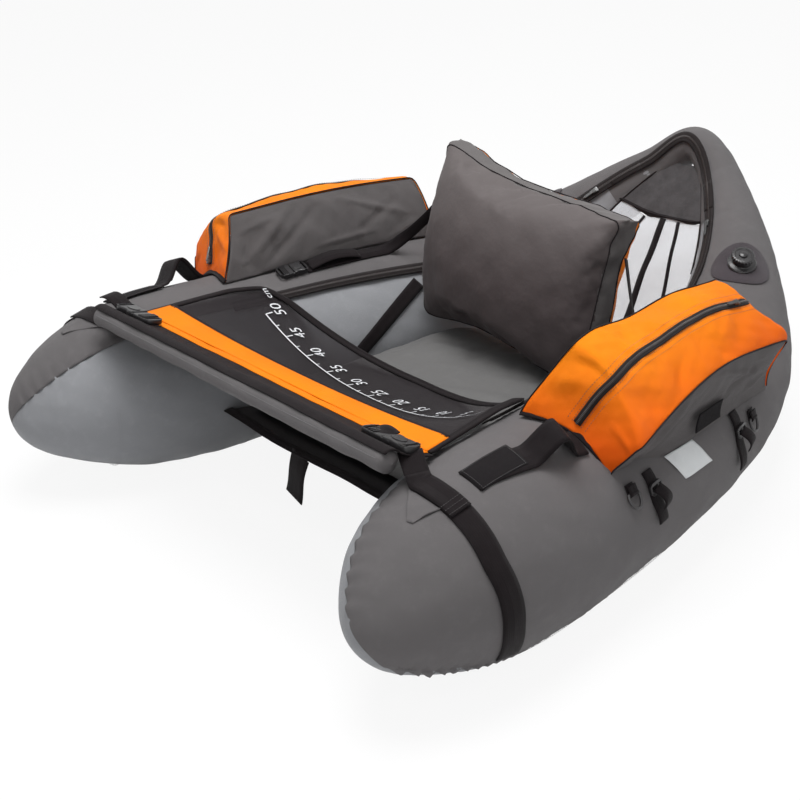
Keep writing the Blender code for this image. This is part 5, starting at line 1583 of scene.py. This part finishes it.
for side_name, side in SIDES:
    way = np.linspace(0.0, 1.0, 46)
    path = np.concatenate([
        np.linspace(0.02, 1.0, 26), np.linspace(1.0, 2.0, 70)[1:], np.linspace(2.0, 2.98, 20)[1:]])
    top = smoothed(over_bag(side, way, path[:, None]), 2)
    facing = grid_facing(top, side < 0)
    swell = (0.0014 * waves(101 + side, top, 0.07) + 0.0006 * waves(103 + side, top, 0.025)
             + cloth_folds(way, path[:, None], top_folds))
    soft_edge = np.clip(np.minimum(way, 1 - way) / 0.06, 0.0, 1.0) ** 0.5
    top_cloth = top + facing * (swell * soft_edge + 0.0022)[..., None]
    dress(woven(f"bag_orange_{side_name}", top_cloth, bag_orange_finish_with_painted_shade, side < 0, cloth_wall),
          f"bag_top_{side_name}")
    for kind, outer in (("outer", True), ("inner", False)):
        dress(woven(f"bag_{kind}_{side_name}", bag_side(side, outer), bag_finish,
                    (side > 0) == outer, cloth_wall),
              f"bag_{side_name}" if outer else None)
    for kind, column in (("inner", 0), ("outer", -1)):
        rim = top_cloth[:, column] + facing[:, column] * 0.0004
        pull_cord(f"bag_piping_{kind}_{side_name}", rim, 0.0011, piping_finish, sides=7)
    hem = in_bag(side, np.linspace(0.0, 1.0, 40), 0.0, 0.015) + np.array((0, -0.002, 0.002))
    ribbon(f"bag_front_hem_{side_name}", hem, (0.0, -0.6, 0.8), 0.007, wall=0.0014, columns=4)

    zip_line = slice(4, len(path) - 6), np.abs(way - bag_zip_across).argmin()
    line, away = smoothed(top_cloth[zip_line], 6), unit(smoothed(facing[zip_line], 6))
    ribbon(f"bag_zip_tape_{side_name}", line + away * 0.0014, away, 0.0115,
           f"bag_zipper_{side_name}", cloth_wall, 5, 0.0004, side > 0, "hull", tape_finish)
    row_along(f"bag_zip_coil_{side_name}", [line + away * 0.0024], [away], coil_finish, "zip_tape",
              0.0019, (0.0013, 0.0050, 0.0015))
    across = unit(np.cross(np.gradient(line, axis=0), away))
    lines = [line + across * gap + away * 0.0012 for gap in (-0.0150, -0.0078, 0.0078, 0.0150)]
    row_along(f"bag_zip_stitches_{side_name}", lines, [away] * 4, dark_thread, "orange_fabric")
    parked = np.array(box_middle(f"bag_zip_slider_{side_name}"))
    at = np.clip(np.linalg.norm(line - parked, axis=1).argmin(), 2, len(line) - 3)
    ahead = (line[at - 1] - line[at + 1]) * side
    zip_pull("bag_zip", side_name, seat_of(line[at] + away[at] * 0.0045, ahead, away[at]))

    across, rise = shares_to(14), np.linspace(0.0, 1.0, 8)
    along, rise = 0.44 + 0.16 * across + 0.03 * rise, 0.03 + 0.26 * rise
    spot = in_bag(side, outer_edge(along, rise), along, rise)
    dress(woven(f"bag_hook_tab_{side_name}", spot + grid_facing(spot, side > 0) * 0.0095,
                pad_finish, side > 0, 0.0014))


# D-rings and lash straps: a wire ring in a folded tab and a hanging strap with a
# ladder lock, twice on the outside of each tube.
ring_finish = moulded_finish("ring_plastic", (0.024, 0.022, 0.023), 0.30)
ring_half, ring_depth, ring_wire = 0.011, 0.014, 0.0021
lock_outline = rounded_outline(
    [(-0.009, -0.013), (0.009, -0.013), (0.009, 0.013), (-0.009, 0.013)], 0.2, 1)
lock_hole = [(-0.004, -0.010), (0.003, -0.010), (0.003, 0.010), (-0.004, 0.010)]
lock_at = 13
for side_name, side in SIDES:
    for place_name, share, angle in (("front", 0.3439, 1.125), ("rear", 0.6098, 1.325)):
        place = f"{place_name}_{side_name}"
        foot, away, ahead = spot_on(side, share, angle, 0.004)
        ahead = unit(ahead)
        up_way = unit(np.cross(ahead, away))
        up_way = up_way * np.sign(up_way[2])
        bar = foot + away * 0.0036
        arc = shares_to(33, math.pi)
        wire = (bar - up_way * (0.006 + ring_depth * np.sin(arc)) + ahead * ring_half * np.cos(arc)
                + away * 0.0015 * np.sin(arc))
        loop = np.concatenate([wire, bar + ahead * shares_to(12, ring_half, -ring_half)])
        pull_cord(f"ring_wire_{place}", smoothed(loop, 2, 4, True), ring_wire, ring_finish,
                  f"d_ring_{place}", f"d_ring_{place}", 12, True)
        turn = shares_to(14, 1.6, -1.35)
        fold = np.concatenate([
            foot + up_way * shares_to(8, 0.001, 0.013) + away * 0.0014,
            bar - up_way * np.cos(turn) * 0.0033 + away * np.sin(turn) * 0.0033,
            foot + up_way * shares_to(8, 0.011, 0.001) + away * 0.0058])
        ribbon(f"ring_tab_webbing_{place}", fold, np.cross(unit(np.gradient(fold, axis=0)), ahead),
               0.0160, f"ring_tab_{place}", 0.0014, 4)
    rearward = ahead
    for place_name, share, high, low in (
            ("front", 0.3802, 1.02, 1.55), ("rear", 0.5681, 1.10, 1.75)):
        place, way = f"{place_name}_{side_name}", np.linspace(0.0, 1.0, 40)
        hang = 0.0022 + 0.004 * way ** 2 + 0.0016 * np.sin(way * 9)
        shares, angles = share + 0.006 * way ** 1.5 / hull_length, high + way * (low - high)
        line, away = on_tube(side, shares, angles, hang), off_tube(side, shares, angles)
        ribbon(f"lash_webbing_{place}", line, away, 0.019, f"lash_strap_{place}", edge_dip=0.0003,
               flip=side > 0)
        foot, outward, down = line[lock_at], away[lock_at], line[lock_at + 1] - line[lock_at]
        flat_cut(f"ladder_lock_{place}", lock_outline, 0.004,
                 seat_of(foot + outward * 0.0040, down, outward), plastic_finish,
                 hole=lock_hole, bevel=0.0009)
        way = shares_to(16)
        tail = (foot + outward * (0.006 + 0.012 * np.sin(way * 2.6))
                + (unit(down) * 0.030 + rearward * 0.006) * way)
        ribbon(f"lash_tail_{place}", tail, outward, 0.018, wall=0.0016, columns=4)

label_finish = cloth_finish(
    "blank_label", (0.74, 0.76, 0.77), (0.68, 0.70, 0.71), 0.0006, 0.5, 0.0008, 30.0)
tube_patch(
    "blank_label", 1, [(-0.0906, 1.014), (-0.028, 1.046), (-0.0012, 1.37), (-0.0638, 1.337)],
    label_finish, 0.0016, 0.0005, 20, 0.0005)


# Back straps: a buckle on each tube and webbing that holds the backrest up; a second
# strap runs down inside each tube to the seat, and one hangs from the seat's front.
back_share, back_end_share, back_angle = 0.4192, 0.5771, -0.250
buckle_length = 0.022
squashed = Matrix.Diagonal((0.55, 0.94, 0.80, 1.0))
way = np.linspace(0.0, 1.0, 40)
for side_name, side in SIDES:
    foot, away, ahead = spot_on(side, back_share, back_angle, 0.006)
    back_buckle = f"back_buckle_{side_name}"
    seat_place = seat_of(foot + away * 0.0062 - unit(ahead) * 0.001, ahead, away)
    side_release(back_buckle, seat_place @ squashed, 0.0150, back_buckle, back_buckle, "hull")
    start_share = back_share + buckle_length
    shares = start_share + way * (back_end_share - start_share)
    lying = on_tube(side, shares, back_angle, 0.0022)
    lying_away = off_tube(side, shares, back_angle)
    inset = 0.0182 if side < 0 else -0.0068
    end = np.array([side * (back_head_share * half_beam - inset), back_y + 0.050, back_foot + 0.138])
    free = shares_to(30)[1:]
    air = lying[-1] + (end - lying[-1]) * free - skyward * 0.006 * np.sin(free * math.pi)
    line = smoothed(np.concatenate([lying, air]), 5)
    steps = np.arange(len(line))
    twist = np.clip((steps - 34) / 20.0, 0.0, 1.0)[:, None]
    facing = np.concatenate([lying_away, np.repeat(lying_away[-1:], len(air), 0)])
    sideways = unit(np.cross(unit(np.gradient(line, axis=0)), facing))
    facing = unit(facing * (1 - twist) + sideways * twist * 0.9)
    width = np.interp(steps, (0, 34, 50, len(line)), (0.025, 0.025, 0.017, 0.015))
    strap = ribbon(f"back_webbing_{side_name}", line, facing, width, f"back_strap_{side_name}",
                   body=None)
    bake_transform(strap)
    spare = slice(2, 26)
    spare_line = lying[spare] + lying_away[spare] * (0.0034 + 0.009 * np.sin(shares_to(24, 3.1)))
    ribbon(f"back_webbing_spare_{side_name}", spare_line, lying_away[spare], 0.024)
    shares, angles = 0.470 + way * 0.125, -1.50 + way * 0.66
    ribbon(f"seat_brace_{side_name}", on_tube(side, shares, angles, 0.0014),
           off_tube(side, shares, angles), 0.022, wall=0.0016)

_, hang_y, hang_top = on_deck(deck_seams[0], 0.2)
line = stacked(
    -0.045 - 0.032 * way, hang_y - 0.0018 - 0.002 * np.sin(way * 5),
    hang_top + way * (0.024 - hang_top))
ribbon("seat_front_webbing", line, (0.0, -1.0, 0.0), 0.038 - 0.003 * np.sin(way * math.pi),
       "seat_front_strap")
